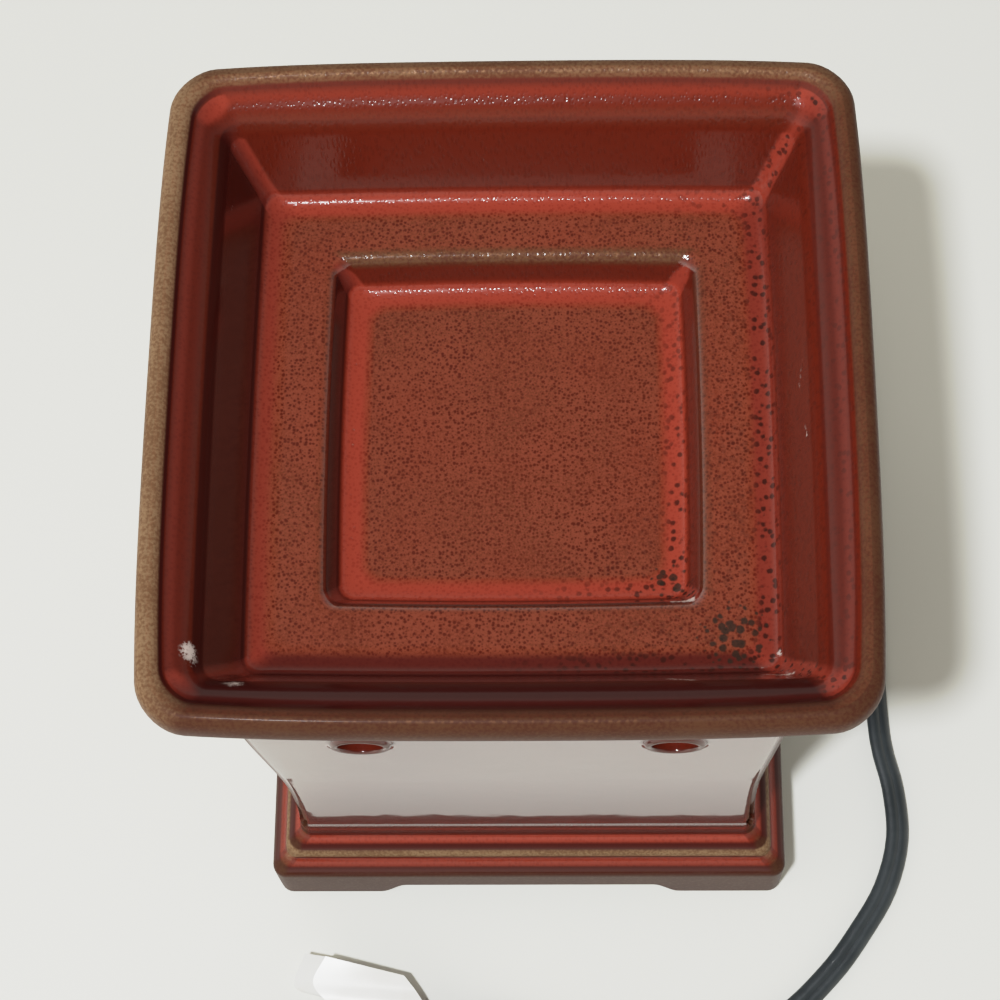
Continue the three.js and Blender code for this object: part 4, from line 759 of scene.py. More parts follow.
def rounded_outline(bm, half_x, half_y, corner, height, corner_steps):
    placing = Matrix.Translation((0.0, 0.0, height)) @ Matrix.Diagonal((half_x, half_y, 1.0, 1.0))
    made = bmesh.ops.create_grid(bm, x_segments=1, y_segments=1, size=1.0, matrix=placing)
    bmesh.ops.bevel(
        bm, geom=made["verts"], offset=corner, offset_type="OFFSET", segments=corner_steps, profile=0.5,
        affect="VERTICES", material=-1)
    bmesh.ops.delete(bm, geom=bm.faces[:], context="FACES_ONLY")


def square_ring(bm, ring, side_cuts, corner_steps, crowd):
    half, corner = ring["half"], ring["corner"]
    rounded_outline(bm, half, half, corner, ring["height"], corner_steps)
    sides = []
    for edge in bm.edges:
        reach = edge.verts[0].co - edge.verts[1].co
        if min(abs(reach.x), abs(reach.y)) < 1e-4:
            sides.append(edge)
    bmesh.ops.subdivide_edges(bm, edges=sides, cuts=side_cuts)
    flat = half - corner
    for vert in bm.verts:
        for axis in (0, 1):
            if abs(vert.co[axis]) < flat - 1e-4:
                vert.co[axis] = crowd(vert.co[axis] / flat) * flat


def split_place(value, half, corner):
    share = max(-1.0, min(1.0, value / (half - corner)))
    return share, (value - share * (half - corner)) / corner


def resized(vert, old_halves, old_corner, new_halves, new_corner):
    for axis in (0, 1):
        share, turn = split_place(vert.co[axis], old_halves[axis], old_corner)
        vert.co[axis] = share * (new_halves[axis] - new_corner) + turn * new_corner


# Zones of the glazed ware, by height or by half width
PLINTH_ZONE = 31.0
RIM_ZONE = 160.5
BEAD_INNER = 59.5
LEDGE_MIDDLE = 45.0


def ring_shine(height, inside, gathered):
    if height < PLINTH_ZONE:
        return 0.30
    if height > RIM_ZONE:
        return 0.14
    return 0.24 if inside and gathered > 0.10 else 1.0


# Share of the gathering that stays on each side of the inside: at the shoulder, at the edge of the pool,
# in the cove and at the foot of the wall
def kept_share(half, gathered, trough, left, right, near):
    if gathered < 0 and LEDGE_MIDDLE < half < BEAD_INNER:
        return 1.0 - 0.9 * right - 0.4 * near
    if gathered < 0 and half < LEDGE_MIDDLE:
        return 1.0 - max(0.45 * right, 0.6 * left, 0.6 * near)
    if trough:
        return 1.4
    return 1.0 - 0.35 * left if 40.0 < half < 50.0 else 1.0


# Inside a piece the glaze is painted darker on its near, left and right sides, as painted shade, and curdles
# towards its near right corner; the left and far sides of the rim bead are painted gold as a painted sheen,
# and on the step of the plinth the glaze thins to gold
def mark_glaze(verts, ring, layers):
    depth, steep, bare, thick, curd, gilt, gloss = layers
    half, height = ring["half"], ring["height"]
    inside = max(0.0, ring["fold"]) * (1.0 - ring["bare"])
    outside = 0.0
    if ring["fold"] < 0:
        outside = 0.6 if height > PLINTH_ZONE else 0.8
    trough = outside > 0 or 54.4 < half < 60.6
    on_wall = ring["steep"] > 0.8
    on_bead = half > BEAD_INNER and height > RIM_ZONE
    on_step = 53.4 < half < 55.3 and 22.0 < height < 27.0
    gathered = ring["depth"]
    if gathered > 0:
        gathered *= 1.0 - 0.75 * ring["steep"]
    hollow_foot = height < LEDGE_UNDERSIDE and gathered > 0.12
    corner_fold = 0.0 if on_bead else ring["fold"] * min(1.0, 2.0 * ring["steep"])
    if height > RIM_ZONE:
        corner_fold *= 0.55
    shine = ring_shine(height, inside, gathered)
    for vert in verts:
        turn_x, turn_y = (split_place(vert.co[axis], half, ring["corner"])[1] for axis in (0, 1))
        left, right = max(0.0, -turn_x), max(0.0, turn_x)
        near, far = max(0.0, -turn_y), max(0.0, turn_y)
        kept = kept_share(half, gathered, trough, left, right, near) if inside else 1.0
        vert[depth] = gathered * kept + corner_fold * abs(turn_x * turn_y)
        vert[steep] = max(ring["steep"], 0.9) if trough else ring["steep"]
        vert[bare] = ring["bare"]
        # Painted shade: the inside is painted darker on its near, left and right sides, most on the near side
        # and the left walls
        if on_wall:
            side = max(0.95 * left, 0.30 * right, 0.25 * far)
        else:
            side = max(0.45 * left, 0.55 * right)
        vert[thick] = 0.0 if hollow_foot else max(inside * max(side, near * (1.0 - right)), outside)
        lean = (vert.co.x - 0.35 * vert.co.y) / 60.0
        vert[curd] = inside * clamped((lean - 0.12) / 0.5)
        vert[gloss] = shine
        # Painted sheen: the left and far sides of the rim bead are painted gold
        vert[gilt] = max(0.75 * left, 0.25 * far) if on_bead else 0.8 * on_step


def unbowed(half, share):
    return 0.0


def cast_square(sections, side_cuts, corner_steps, crowd=even, bow=unbowed):
    rings = rings_of(sections)
    bm = bmesh.new()
    layers = [bm.verts.layers.float.new(name) for name in GLAZE_LAYERS]
    square_ring(bm, rings[0], side_cuts, corner_steps, crowd)
    first = bm.edges[:]
    edges = first
    rows = [bm.verts[:]]
    mark_glaze(rows[0], rings[0], layers)
    for old, new in zip(rings, rings[1:]):
        verts, edges = drawn_out(bm, edges)
        for vert in verts:
            resized(vert, [old["half"]] * 2, old["corner"], [new["half"]] * 2, new["corner"])
            vert.co.z = new["height"]
        mark_glaze(verts, new, layers)
        rows.append(verts)
    for ring, row in zip(rings, rows):
        for vert in row:
            turns = [split_place(vert.co[axis], ring["half"], ring["corner"])[1] for axis in (0, 1)]
            shares = [vert.co[axis] / ring["half"] for axis in (0, 1)]
            for axis in (0, 1):
                vert.co[axis] += turns[axis] * bow(ring["half"], shares[1 - axis])
    return bm, first, edges


def dish_corner(half):
    shoulder, pool = 53.5, 31.0
    if half > shoulder:
        return 3.2 + 5.8 * (half - shoulder) / (RIM_HALF - shoulder)
    return max(1.0, 2.8 + 0.4 * (half - pool) / (shoulder - pool))


def dish_bow(half, share):
    rim = clamped((half - 54.0) / 6.0)
    return SIDE_BOW * (1.0 - share ** 2) - RIM_DRAW * rim * share ** 4


# Under the bead of the rim the glaze has run thin
def bead_thinning(point):
    return 0.5 * clamped((point.y - 160.2) / 0.8)


def dish_sections():
    below = drawn(
        (4.0, POOL_UNDERSIDE), (31.7, POOL_UNDERSIDE), (35.5, POOL_UNDERSIDE, 36.7, 138.8),
        (40.5, LEDGE_UNDERSIDE), (43.85, LEDGE_UNDERSIDE),
        (43.85, 136.9), (46.85, 136.9), (46.85, LEDGE_UNDERSIDE), (51.1, LEDGE_UNDERSIDE))
    outside = drawn(
        (51.1, LEDGE_UNDERSIDE), (52.3, LEDGE_UNDERSIDE, 53.5, 143.3), (58.0, 158.6),
        (59.2, RIM_UNDERSIDE, 62.2, RIM_UNDERSIDE), (RIM_HALF, RIM_UNDERSIDE, RIM_HALF, 165.4),
        (RIM_HALF, RIM_TOP, 62.2, RIM_TOP))
    inside = drawn(
        (62.2, RIM_TOP), (60.9, RIM_TOP, 60.0, 168.5), (59.1, 167.0, 57.0, 165.85),
        (55.0, 164.75, 53.6, 161.9), (48.6, 148.6), (47.7, LEDGE_TOP, 45.0, LEDGE_TOP), (36.3, LEDGE_TOP),
        (34.5, LEDGE_TOP, 33.7, 144.2), (31.9, 140.3), (31.2, POOL_FLOOR, 27.2, POOL_FLOOR),
        (4.0, POOL_FLOOR))
    return [
        (below, dish_corner, -1.0, 0.0, no_thinning), (outside, dish_corner, -1.0, 0.0, bead_thinning),
        (inside, dish_corner, 1.0, 0.0, no_thinning)]


def make_dish():
    bm, under, pool = cast_square(dish_sections(), side_cuts=36, corner_steps=9, bow=dish_bow)
    finish = glaze_finish("dish_glaze", 0.13, 1.6, dish_wear)
    finished(capped(bm, under, pool), "glazed_dish", "dish", finish, ["warming_dish"], 60.0)


make_dish()


def body_corner(half):
    return COLUMN_CORNER + 0.06 * max(0.0, half - COLUMN_FOOT_HALF)


def inner_corner(half):
    return COLUMN_CORNER


# On the plinth the glaze has run thin down the fascia and over the edge of the step
def plinth_thinning(point):
    fascia = clamped((FASCIA_TOP - 1.0 - point.y) / 2.0)
    step = math.exp(-((point.y - 24.4) / 1.1) ** 2)
    return 0.9 * fascia if point.x > STEP_HALF + 0.1 else 0.75 * step


def body_sections():
    recess = drawn(
        (5.1, WEB_BOTTOM), (45.2, WEB_BOTTOM), (45.2, RECESS_TOP), (RECESS_HALF, RECESS_TOP),
        (RECESS_HALF, 2.1), (RECESS_HALF, PLINTH_BOTTOM, 52.6, PLINTH_BOTTOM), longest=9.0)
    outside = drawn(
        (52.6, PLINTH_BOTTOM), (57.2, PLINTH_BOTTOM), (PLINTH_HALF, PLINTH_BOTTOM, PLINTH_HALF, 2.3),
        (PLINTH_HALF, 18.0), (PLINTH_HALF, FASCIA_TOP, 56.0, 21.2), (STEP_HALF, 22.4, STEP_HALF, 24.0),
        (STEP_HALF, STEP_TOP, 53.1, 26.6), (NECK_HALF, 27.8, NECK_HALF, NECK_TOP),
        (COLUMN_FOOT_HALF, 33.5, COLUMN_FOOT_HALF, COLUMN_FOOT), (column_half(FLARE_TOP), FLARE_TOP),
        (COLUMN_TOP_HALF, 139.6), (COLUMN_TOP_HALF, BODY_TOP, 51.9, BODY_TOP), longest=4.0)
    chamber = drawn(
        (51.9, BODY_TOP), (48.4, BODY_TOP), (47.85, BODY_TOP, 47.8, 140.0), (42.92, WEB_TOP), (5.1, WEB_TOP),
        longest=9.0)
    return [
        (recess, inner_corner, 1.0, 1.0, no_thinning), (outside, body_corner, -1.0, 0.0, plinth_thinning),
        (chamber, inner_corner, 1.0, 1.0, no_thinning)]


def crowd_at_arch(share):
    marks = (0.0, 0.35, 0.75, 1.0)
    places = (0.0, 0.47, 0.67, 1.0)
    size = abs(share)
    for low, high, start, end in zip(marks, marks[1:], places, places[1:]):
        if size <= high:
            return math.copysign(start + (end - start) * (size - low) / (high - low), share)
    return share


def arch_height(along):
    share = clamped((ARCH_FOOT - abs(along)) / ARCH_SWEEP)
    return PLINTH_BOTTOM + (ARCH_TOP - PLINTH_BOTTOM) * smooth_step(share)


def lift_arches(bm):
    for vert in bm.verts:
        if vert.co.z >= ARCH_CROWN or max(abs(vert.co.x), abs(vert.co.y)) < RECESS_HALF - 0.1:
            continue
        along = vert.co.x if abs(vert.co.y) > abs(vert.co.x) else vert.co.y
        low = arch_height(along)
        rise = (vert.co.z - PLINTH_BOTTOM) / (ARCH_CROWN - PLINTH_BOTTOM)
        vert.co.z = low + rise * (ARCH_CROWN - low)


# The column curves out a little towards the foot
def flare_faces(bm):
    foot, fade_foot = 36.0, 27.0
    for vert in bm.verts:
        height = vert.co.z
        half = max(abs(vert.co.x), abs(vert.co.y))
        if not fade_foot < height < FLARE_TOP or half < COLUMN_FOOT_HALF - 0.2:
            continue
        share = clamped((FLARE_TOP - height) / (FLARE_TOP - foot))
        fade = clamped((height - fade_foot) / (foot - fade_foot))
        push = FLARE_REACH * share ** 2 * smooth_step(fade)
        for axis in (0, 1):
            vert.co[axis] *= 1.0 + push / half


# The left face leans out a little, as it was cast
def lean_left_face(bm):
    for vert in bm.verts:
        half = max(abs(vert.co.x), abs(vert.co.y))
        if vert.co.x < 0 and vert.co.z > COLUMN_FOOT and half > column_half(vert.co.z) - 1:
            rise = min(1.0, (vert.co.z - COLUMN_FOOT) / LEAN_RISE)
            vert.co.x *= 1.0 + LEFT_LEAN * rise / 52.0


# Turned shapes: a profile of radius and height, spun about the upright axis
def spun(bm, profile, steps=48, matrix=None):
    verts = [bm.verts.new((radius, 0.0, height)) for radius, height in profile]
    edges = [bm.edges.new(pair) for pair in zip(verts, verts[1:])]
    before = set(bm.verts) - set(verts)
    bmesh.ops.spin(
        bm, geom=verts + edges, cent=(0.0, 0.0, 0.0), axis=(0.0, 0.0, 1.0), angle=2 * math.pi, steps=steps,
        use_merge=True, use_duplicate=False)
    made = [vert for vert in bm.verts if vert not in before]
    bmesh.ops.remove_doubles(bm, verts=made, dist=1e-4)
    made = [vert for vert in bm.verts if vert not in before]
    if matrix is not None:
        bmesh.ops.transform(bm, matrix=matrix, verts=made)
    bmesh.ops.recalc_face_normals(bm, faces=faces_of(made))
    return made


def box_between(bm, low, high):
    size = Vector(high) - Vector(low)
    middle = (Vector(high) + Vector(low)) / 2
    matrix = Matrix.Translation(middle) @ Matrix.Diagonal((*size, 1.0))
    return bmesh.ops.create_cube(bm, size=1.0, matrix=matrix)["verts"]


def column_half(height):
    widening = (COLUMN_TOP_HALF - COLUMN_FOOT_HALF) / (COLUMN_SHOULDER - COLUMN_FOOT)
    return COLUMN_FOOT_HALF + widening * (height - COLUMN_FOOT)


COLUMN_LEAN = math.atan2(COLUMN_TOP_HALF - COLUMN_FOOT_HALF, COLUMN_SHOULDER - COLUMN_FOOT)


# Places of the glow holes: two in each face, looking out along the face's normal
def hole_places():
    places = []
    for quarter in range(4):
        for side in (-1, 1):
            place = Matrix.Rotation(quarter * math.pi / 2, 4, "Z")
            place = place @ Matrix.Translation((side * HOLE_OFFSET, -column_half(HOLE_HEIGHT), HOLE_HEIGHT))
            places.append(place @ Matrix.Rotation(math.pi / 2 + COLUMN_LEAN, 4, "X"))
    return places


def hole_collars():
    bm = bmesh.new()
    lip = drawn(
        (HOLE_RADIUS, -2.5), (HOLE_RADIUS, 0.1), (HOLE_RADIUS, HOLE_LIP_RISE, 5.0, HOLE_LIP_RISE),
        (5.6, HOLE_LIP_RISE, 6.0, 0.35), (6.3, 0.05, HOLE_LIP, 0.02), (HOLE_LIP, -2.5), (HOLE_RADIUS, -2.5),
        bend_steps=6, longest=20.0)
    for place in hole_places():
        spun(bm, lip, 44, place)
    return bm


# The lip's crest thins to bronze, its foot gathers glaze, and the bore runs dark
def glaze_holes(bm):
    depth, steep, bare, thick = (bm.verts.layers.float[name] for name in GLAZE_LAYERS[:4])
    gloss = bm.verts.layers.float["gloss"]
    for place in hole_places():
        back = place.inverted()
        for vert in bm.verts:
            spot = back @ vert.co
            radius = math.hypot(spot.x, spot.y)
            if radius > HOLE_LIP + 0.1 or not -COLUMN_WALL < spot.z < 3.0:
                continue
            bore = radius < HOLE_RADIUS + 0.05 and spot.z < 0.15
            crest = math.exp(-((radius - 5.2) / 0.8) ** 2)
            vert[depth] = -0.35 * crest
            vert[steep] = 1.0
            vert[thick] = 0.4 if bore else 0.7
            vert[gloss] = 0.4 if bore else 1.0
            vert[bare] = 0.0


def hole_cutters():
    bm = bmesh.new()
    bare = bm.verts.layers.float.new("bare")
    radius = HOLE_RADIUS - 0.02
    for place in hole_places():
        spun(bm, [(0.0, -12.0), (radius, -12.0), (radius, 3.0), (0.0, 3.0)], 44, place)
    wire_hole = [(0.0, 26.0), (4.5, 26.0), (4.5, 35.0), (0.0, 35.0)]
    for vert in spun(bm, wire_hole, 32, Matrix.Translation((0, 20, 0))):
        vert[bare] = 1.0
    placing = Matrix.Translation((0.0, 62.0, NOTCH_HEIGHT)) @ Matrix.Rotation(math.pi / 2, 4, "X")
    notch = bmesh.ops.create_circle(
        bm, cap_ends=True, segments=32, radius=NOTCH_HALF, matrix=placing)["verts"]
    for vert in notch:
        if vert.co.z < NOTCH_HEIGHT - 0.01:
            vert.co.x = math.copysign(NOTCH_HALF, vert.co.x) if abs(vert.co.x) > 0.01 else 0.0
            vert.co.z = NOTCH_HEIGHT - (NOTCH_HEIGHT + 4.0) * (NOTCH_HEIGHT - vert.co.z) / NOTCH_HALF
    made = bmesh.ops.extrude_face_region(bm, geom=faces_of(notch))["geom"]
    bmesh.ops.translate(bm, vec=(0.0, -13.5, 0.0), verts=new_parts(made, bmesh.types.BMVert))
    return outward(bm)


def corner_boxes(inner, outer, bottom, top):
    bm = bmesh.new()
    bare = bm.verts.layers.float.new("bare")
    for side_x in (-1, 1):
        for side_y in (-1, 1):
            low_x, high_x = sorted((side_x * inner, side_x * outer))
            low_y, high_y = sorted((side_y * inner, side_y * outer))
            box_between(bm, (low_x, low_y, bottom), (high_x, high_y, top))
    for vert in bm.verts:
        vert[bare] = 1.0
    return bm


# Joining and cutting: each change is worked out and the helpers are removed again
def reworked(bm, changes):
    rough = loose_object(bm, "rough_form")
    helpers = []
    for operation, shape in changes:
        helper = loose_object(shape, "helper_form")
        change = rough.modifiers.new(operation.lower(), "BOOLEAN")
        change.operation = operation
        change.object = helper
        change.solver = "EXACT"
        helpers.append(helper)
    bpy.context.view_layer.update()
    mesh = bpy.data.meshes.new_from_object(rough.evaluated_get(bpy.context.evaluated_depsgraph_get()))
    result = bmesh.new()
    result.from_mesh(mesh)
    for spare in (rough, *helpers):
        spare_mesh = spare.data
        bpy.data.objects.remove(spare)
        bpy.data.meshes.remove(spare_mesh)
    bpy.data.meshes.remove(mesh)
    return result


def make_body():
    bm, web_below, web_above = cast_square(
        body_sections(), side_cuts=60, corner_steps=6, crowd=crowd_at_arch)
    bmesh.ops.bridge_loops(bm, edges=web_below + web_above)
    lift_arches(bm)
    flare_faces(bm)
    lean_left_face(bm)
    outward(bm)
    bm = reworked(bm, [
        ("UNION", corner_boxes(36.0, 47.5, 10.8, WEB_BOTTOM + 0.6)),
        ("UNION", corner_boxes(36.0, 54.5, 10.8, 20.6)),
        ("UNION", corner_boxes(44.0, 54.5, PLINTH_BOTTOM + 0.1, 20.6)),
        ("UNION", hole_collars()),
        ("DIFFERENCE", hole_cutters()),
    ])
    glaze_holes(bm)
    finish = glaze_finish("body_glaze", 0.03, 1.55)
    finished(bm, "glazed_body", "column", finish, ["body_shell"], 40.0)


make_body()


# Moulded fittings: a rounded rectangle (half width, half length, corner, height) is drawn from ring to ring
def lofted(rings, closed=False, corner_steps=6):
    bm = bmesh.new()
    rounded_outline(bm, *rings[0], corner_steps)
    first = bm.edges[:]
    edges = first
    following = rings[1:] + (rings[:1] if closed else [])
    for old, new in zip(rings, following):
        verts, edges = drawn_out(bm, edges)
        for vert in verts:
            resized(vert, old[:2], old[2], new[:2], new[2])
            vert.co.z = new[3]
    if not closed:
        return capped(bm, first, edges)
    bmesh.ops.remove_doubles(bm, verts=bm.verts[:], dist=1e-4)
    return outward(bm)


def moved(bm, matrix):
    bmesh.ops.transform(bm, matrix=matrix, verts=bm.verts[:])
    return outward(bm)


def turned(profile, steps=48, matrix=None):
    bm = bmesh.new()
    spun(bm, profile, steps, matrix)
    return bm


# Feet
def make_feet():
    profile = drawn(
        (0.0, 0.35), (3.2, 0.12), (4.3, 0.0), (5.0, 0.0, 5.0, 0.6), (5.0, 1.1), (5.0, 1.5, 4.7, 1.5),
        (0.0, 1.5), bend_steps=5)
    for number, (x, y) in enumerate(((-1, -1), (1, -1), (1, 1), (-1, 1)), 1):
        bm = turned(profile, 40, Matrix.Translation((x * FOOT_OFFSET, y * FOOT_OFFSET, 0.0)))
        finished(bm, f"rubber_foot_{number}", "column", pad_finish, [f"foot_pad_{number}"])


# Strain relief: two flanges hold the rim of the notch, then a ribbed tail tapers to the lead
def make_strain_relief():
    profile = [Vector((0.0, 49.2))]
    profile += drawn((4.3, 49.2), (4.8, 49.2, 4.8, 49.7), (4.8, 51.7), (3.4, 51.7), (3.4, 58.3), (4.5, 58.3),
                     (4.8, 58.3, 4.8, 58.6), (4.8, 60.4), (4.8, 60.8, 4.2, 60.8), (4.0, 61.2), bend_steps=4)
    for rib in range(6):
        begin = 62.4 + 3.2 * rib
        radius = 4.0 - 0.7 * (begin - 61.0) / 21.8
        profile += drawn((radius, begin), (radius - 0.7, begin + 0.2), (radius - 0.75, begin + 1.2),
                         (radius - 0.05, begin + 1.4))
    profile += drawn(
        (3.36, 82.4), (3.34, 82.8, 3.1, 82.8), (2.95, 82.8), (2.95, 81.9), (0.0, 81.9), bend_steps=4)
    placing = Matrix.Translation((0.0, 0.0, NOTCH_HEIGHT)) @ Matrix.Rotation(-math.pi / 2, 4, "X")
    bm = turned(profile, 48, placing)
    finished(bm, "strain_relief", "column", moulding_finish, ["cord_bushing"], 50.0)


# In-line switch: two shells, drawn as inset from the outline and height, with a knurled wheel in the slot
def case_rings(profile):
    return [(12.0 - inset, 25.0 - inset, max(1.0, 8.0 - inset), height) for inset, height in profile]


def lead_mouths():
    bm = bmesh.new()
    for end in (-24.6, 24.6):
        placing = Matrix.Translation((0.0, end, 7.65)) @ Matrix.Diagonal((3.0, 1.0, 1.62, 1.0))
        verts = bmesh.ops.create_cone(
            bm, cap_ends=True, segments=32, radius1=1.0, radius2=1.0, depth=2.0,
            matrix=placing @ Matrix.Rotation(math.pi / 2, 4, "X"))["verts"]
        bmesh.ops.recalc_face_normals(bm, faces=faces_of(verts))
    return bm


def at_both_screws(profile):
    bm = bmesh.new()
    for along in (-19.0, 19.0):
        spun(bm, profile, 32, Matrix.Translation((0.0, along, 0.0)))
    return bm


def make_switch():
    base = drawn(
        (6.0, 0.0), (1.6, 0.0), (0.0, 0.0, 0.0, 1.6), (0.0, 7.3), (0.0, 7.6, 0.3, 7.6), (1.7, 7.6),
        (2.0, 7.6, 2.0, 7.3), (2.0, 2.0), (6.0, 2.0), bend_steps=5, longest=12.0)
    cover = drawn(
        (6.0, 13.3), (2.0, 13.3), (2.0, 8.0), (2.0, 7.72, 1.7, 7.72), (0.3, 7.72), (0.0, 7.72, 0.0, 8.0),
        (0.0, 12.2), (0.0, 15.3, 3.8, 15.3), (6.0, 15.3), bend_steps=7, longest=12.0)
    slot = bmesh.new()
    box_between(slot, (-4.0, -7.73, 12.6), (4.0, 7.73, 16.5))
    lower = reworked(lofted(case_rings(base), corner_steps=10), [
        ("UNION", at_both_screws([(0.0, 1.9), (3.2, 1.9), (3.2, 7.5), (0.0, 7.5)])),
        ("DIFFERENCE", at_both_screws([(0.0, 2.2), (1.35, 2.2), (1.35, 8.0), (0.0, 8.0)])),
        ("DIFFERENCE", lead_mouths())])
    upper = reworked(lofted(case_rings(cover), corner_steps=10), [
        ("UNION", at_both_screws([(0.0, 7.8), (3.2, 7.8), (3.2, 13.4), (0.0, 13.4)])),
        ("DIFFERENCE", at_both_screws(
            [(0.0, 7.0), (1.35, 7.0), (1.35, 13.5), (2.75, 13.5), (2.75, 16.5), (0.0, 16.5)])),
        ("DIFFERENCE", slot), ("DIFFERENCE", lead_mouths())])
    placing = Matrix.Translation(SWITCH_PLACE)
    return [
        finished(moved(lower, placing), "switch_lower_half", "column", moulding_finish,
                 ["switch_lower_case"]),
        finished(moved(upper, placing), "switch_upper_half", "column", moulding_finish,
                 ["switch_upper_case"])]


def make_wheel():
    radius, tooth, teeth = 7.5, 0.7, 18
    bm = bmesh.new()
    bmesh.ops.create_circle(bm, cap_ends=False, segments=teeth * 8, radius=radius)
    for vert in bm.verts:
        phase = math.cos(math.atan2(vert.co.y, vert.co.x) * teeth)
        cut = tooth * clamped(0.5 - 1.1 * phase)
        vert.co *= (radius - cut) / radius
    rings = ((-2.8, 0.40), (-2.8, 0.72), (-3.5, 0.76), (-3.5, 0.92), (-3.0, 1.0), (3.0, 1.0), (3.5, 0.92),
             (3.5, 0.76), (2.8, 0.72), (2.8, 0.40))
    bmesh.ops.scale(bm, vec=(0.40, 0.40, 1.0), verts=bm.verts[:])
    bmesh.ops.translate(bm, vec=(0.0, 0.0, -2.8), verts=bm.verts[:])
    first = bm.edges[:]
    edges = first
    for (before, old_share), (along, share) in zip(rings, rings[1:]):
        verts, edges = drawn_out(bm, edges)
        bmesh.ops.scale(bm, vec=(share / old_share, share / old_share, 1.0), verts=verts)
        bmesh.ops.translate(bm, vec=(0.0, 0.0, along - before), verts=verts)
    bore = turned([(0.0, -5.0), (1.7, -5.0), (1.7, 5.0), (0.0, 5.0)], 32)
    bm = reworked(capped(bm, first, edges), [("DIFFERENCE", bore)])
    axle_place = Matrix.Translation(SWITCH_PLACE + Vector((0.0, 0.0, 10.0)))
    bm = moved(bm, axle_place @ Matrix.Rotation(math.pi / 2, 4, "Y"))
    return finished(bm, "knurled_wheel", "thumb_wheel", moulding_finish, ["switch_wheel"])


# Plug: drawn lengthwise, with grip grooves across its sides and a mouth for the lead
ENDWISE = Matrix(((1, 0, 0, 0), (0, 0, 1, 0), (0, 1, 0, 0), (0, 0, 0, 1)))


def make_plug():
    rings = [(2.95, 1.6, 1.55, 1.3), (2.95, 1.6, 1.55, 0.0)]
    for along, half_x, half_z in (
            (0.0, 3.4, 3.4), (0.4, 3.6, 3.6), (4.0, 4.1, 3.6), (7.5, 5.1, 3.8), (9.5, 6.4, 4.4),
            (11.5, 8.2, 5.3), (13.4, 9.8, 6.2), (15.1, 11.1, 6.8), (16.6, 12.0, 7.2), (17.9, 12.5, 7.5)):
        rings.append((half_x, half_z, 0.8 * half_z, along))
    for groove in range(5):
        middle = 19.4 + 1.9 * groove
        for offset, cut in ((-0.6, 0.0), (-0.3, 0.55), (0.3, 0.55), (0.6, 0.0)):
            rings.append((12.5 - cut, 7.5, 0.8 * 7.5, middle + offset))
    for along, inset in ((28.8, 0.0), (29.6, 0.25), (30.0, 0.9)):
        rings.append((12.5 - inset, 7.5 - inset, 0.8 * 7.5, along))
    placing = Matrix.Translation(PLUG_PLACE + Vector((0.0, 0.0, PLUG_HEIGHT)))
    placing = placing @ Matrix.Rotation(math.radians(PLUG_HEADING - 90.0), 4, "Z") @ ENDWISE
    bm = moved(lofted(rings, corner_steps=8), placing)
    return finished(bm, "moulded_plug", "column", moulding_finish, ["plug_body"])


# Coil tie: a flat band round the bundle with its free end tucked over the top
def make_tie():
    band = ((0.0, -2.6), (0.0, 2.6), (0.25, 3.0), (0.55, 3.0), (0.8, 2.6), (0.8, -2.6), (0.55, -3.0),
            (0.25, -3.0))
    rings = [(7.12 - inset, 6.9 - inset, 2.4 - inset, along) for inset, along in band]
    bm = moved(lofted(rings, closed=True), Matrix.Translation(TIE_PLACE) @ ENDWISE)
    tongue = bmesh.ops.create_grid(bm, x_segments=14, y_segments=6, size=1.0)["verts"]
    for vert in tongue:
        along = (vert.co.x + 1.0) / 2.0
        width = 2.3 * math.sqrt(max(0.05, 1.0 - max(0.0, along - 0.8) ** 2 / 0.042))
        lift = 1.3 * max(0.0, along - 0.45) ** 2
        vert.co = Vector((-27.5 + 11.5 * along, TIE_PLACE.y + width * vert.co.y, 14.15 + lift))
    bmesh.ops.solidify(bm, geom=faces_of(tongue), thickness=-0.6)
    outward(bm)
    return finished(bm, "coil_band", "column", pad_finish, ["coil_tie"])


# Tag: a bare strip of coated paper folded round the lead, its two ends lying loosely together
TAG_STOPS = [
    ((-46.4, -74.2, 9.0), (-28.5, -78.4, 8.0)), ((-49.2, -79.8, 7.9), (-26.0, -81.4, 6.9)),
    ((-46.0, -84.0, 7.0), (-24.0, -84.4, 6.6)), ((-41.0, -86.8, 5.8), (-23.0, -86.8, 5.8)),
    ((-40.0, -89.9, 3.6), (-23.0, -89.9, 3.6)), ((-41.0, -86.8, 1.4), (-23.0, -86.8, 1.4)),
    ((-47.0, -82.5, 1.1), (-27.0, -83.0, 0.9)), ((-54.0, -80.0, 2.6), (-33.0, -79.5, 0.9)),
    ((-51.5, -73.0, 6.0), (-38.0, -74.5, 2.0)),
]


def through(points, steps):
    line = [points[0] * 2 - points[1], *points, points[-1] * 2 - points[-2]]
    places = []
    for before, begin, end, after in zip(line, line[1:], line[2:], line[3:]):
        places += interpolate_bezier(
            begin, begin + (end - before) / 6, end - (after - begin) / 6, end, steps + 1)[:-1]
    return places + [points[-1]]


def paper_finish():
    finish, tree, shader = new_finish("coated_paper", Coat_Weight=0.25, Coat_Roughness=0.2)
    place = place_of(tree)
    fibres = clouds(tree, mapped(tree, place, scale=(1.0, 4.0, 1.0)), 1500.0, 4.0, 0.65)
    stain = clouds(tree, place, 110.0, 3.0)
    white = blended(tree, eased(tree, stain, 0.4, 0.75), (0.80, 0.79, 0.75), (0.70, 0.68, 0.62))
    white = blended(tree, times(tree, fibres, 0.3), white, (0.88, 0.88, 0.86))
    rough = plus(tree, 0.36, times(tree, fibres, 0.3))
    wired(tree, shader, Base_Color=white, Roughness=rough)
    bumped(tree, shader, fibres, 0.4, 0.00004)
    return finish


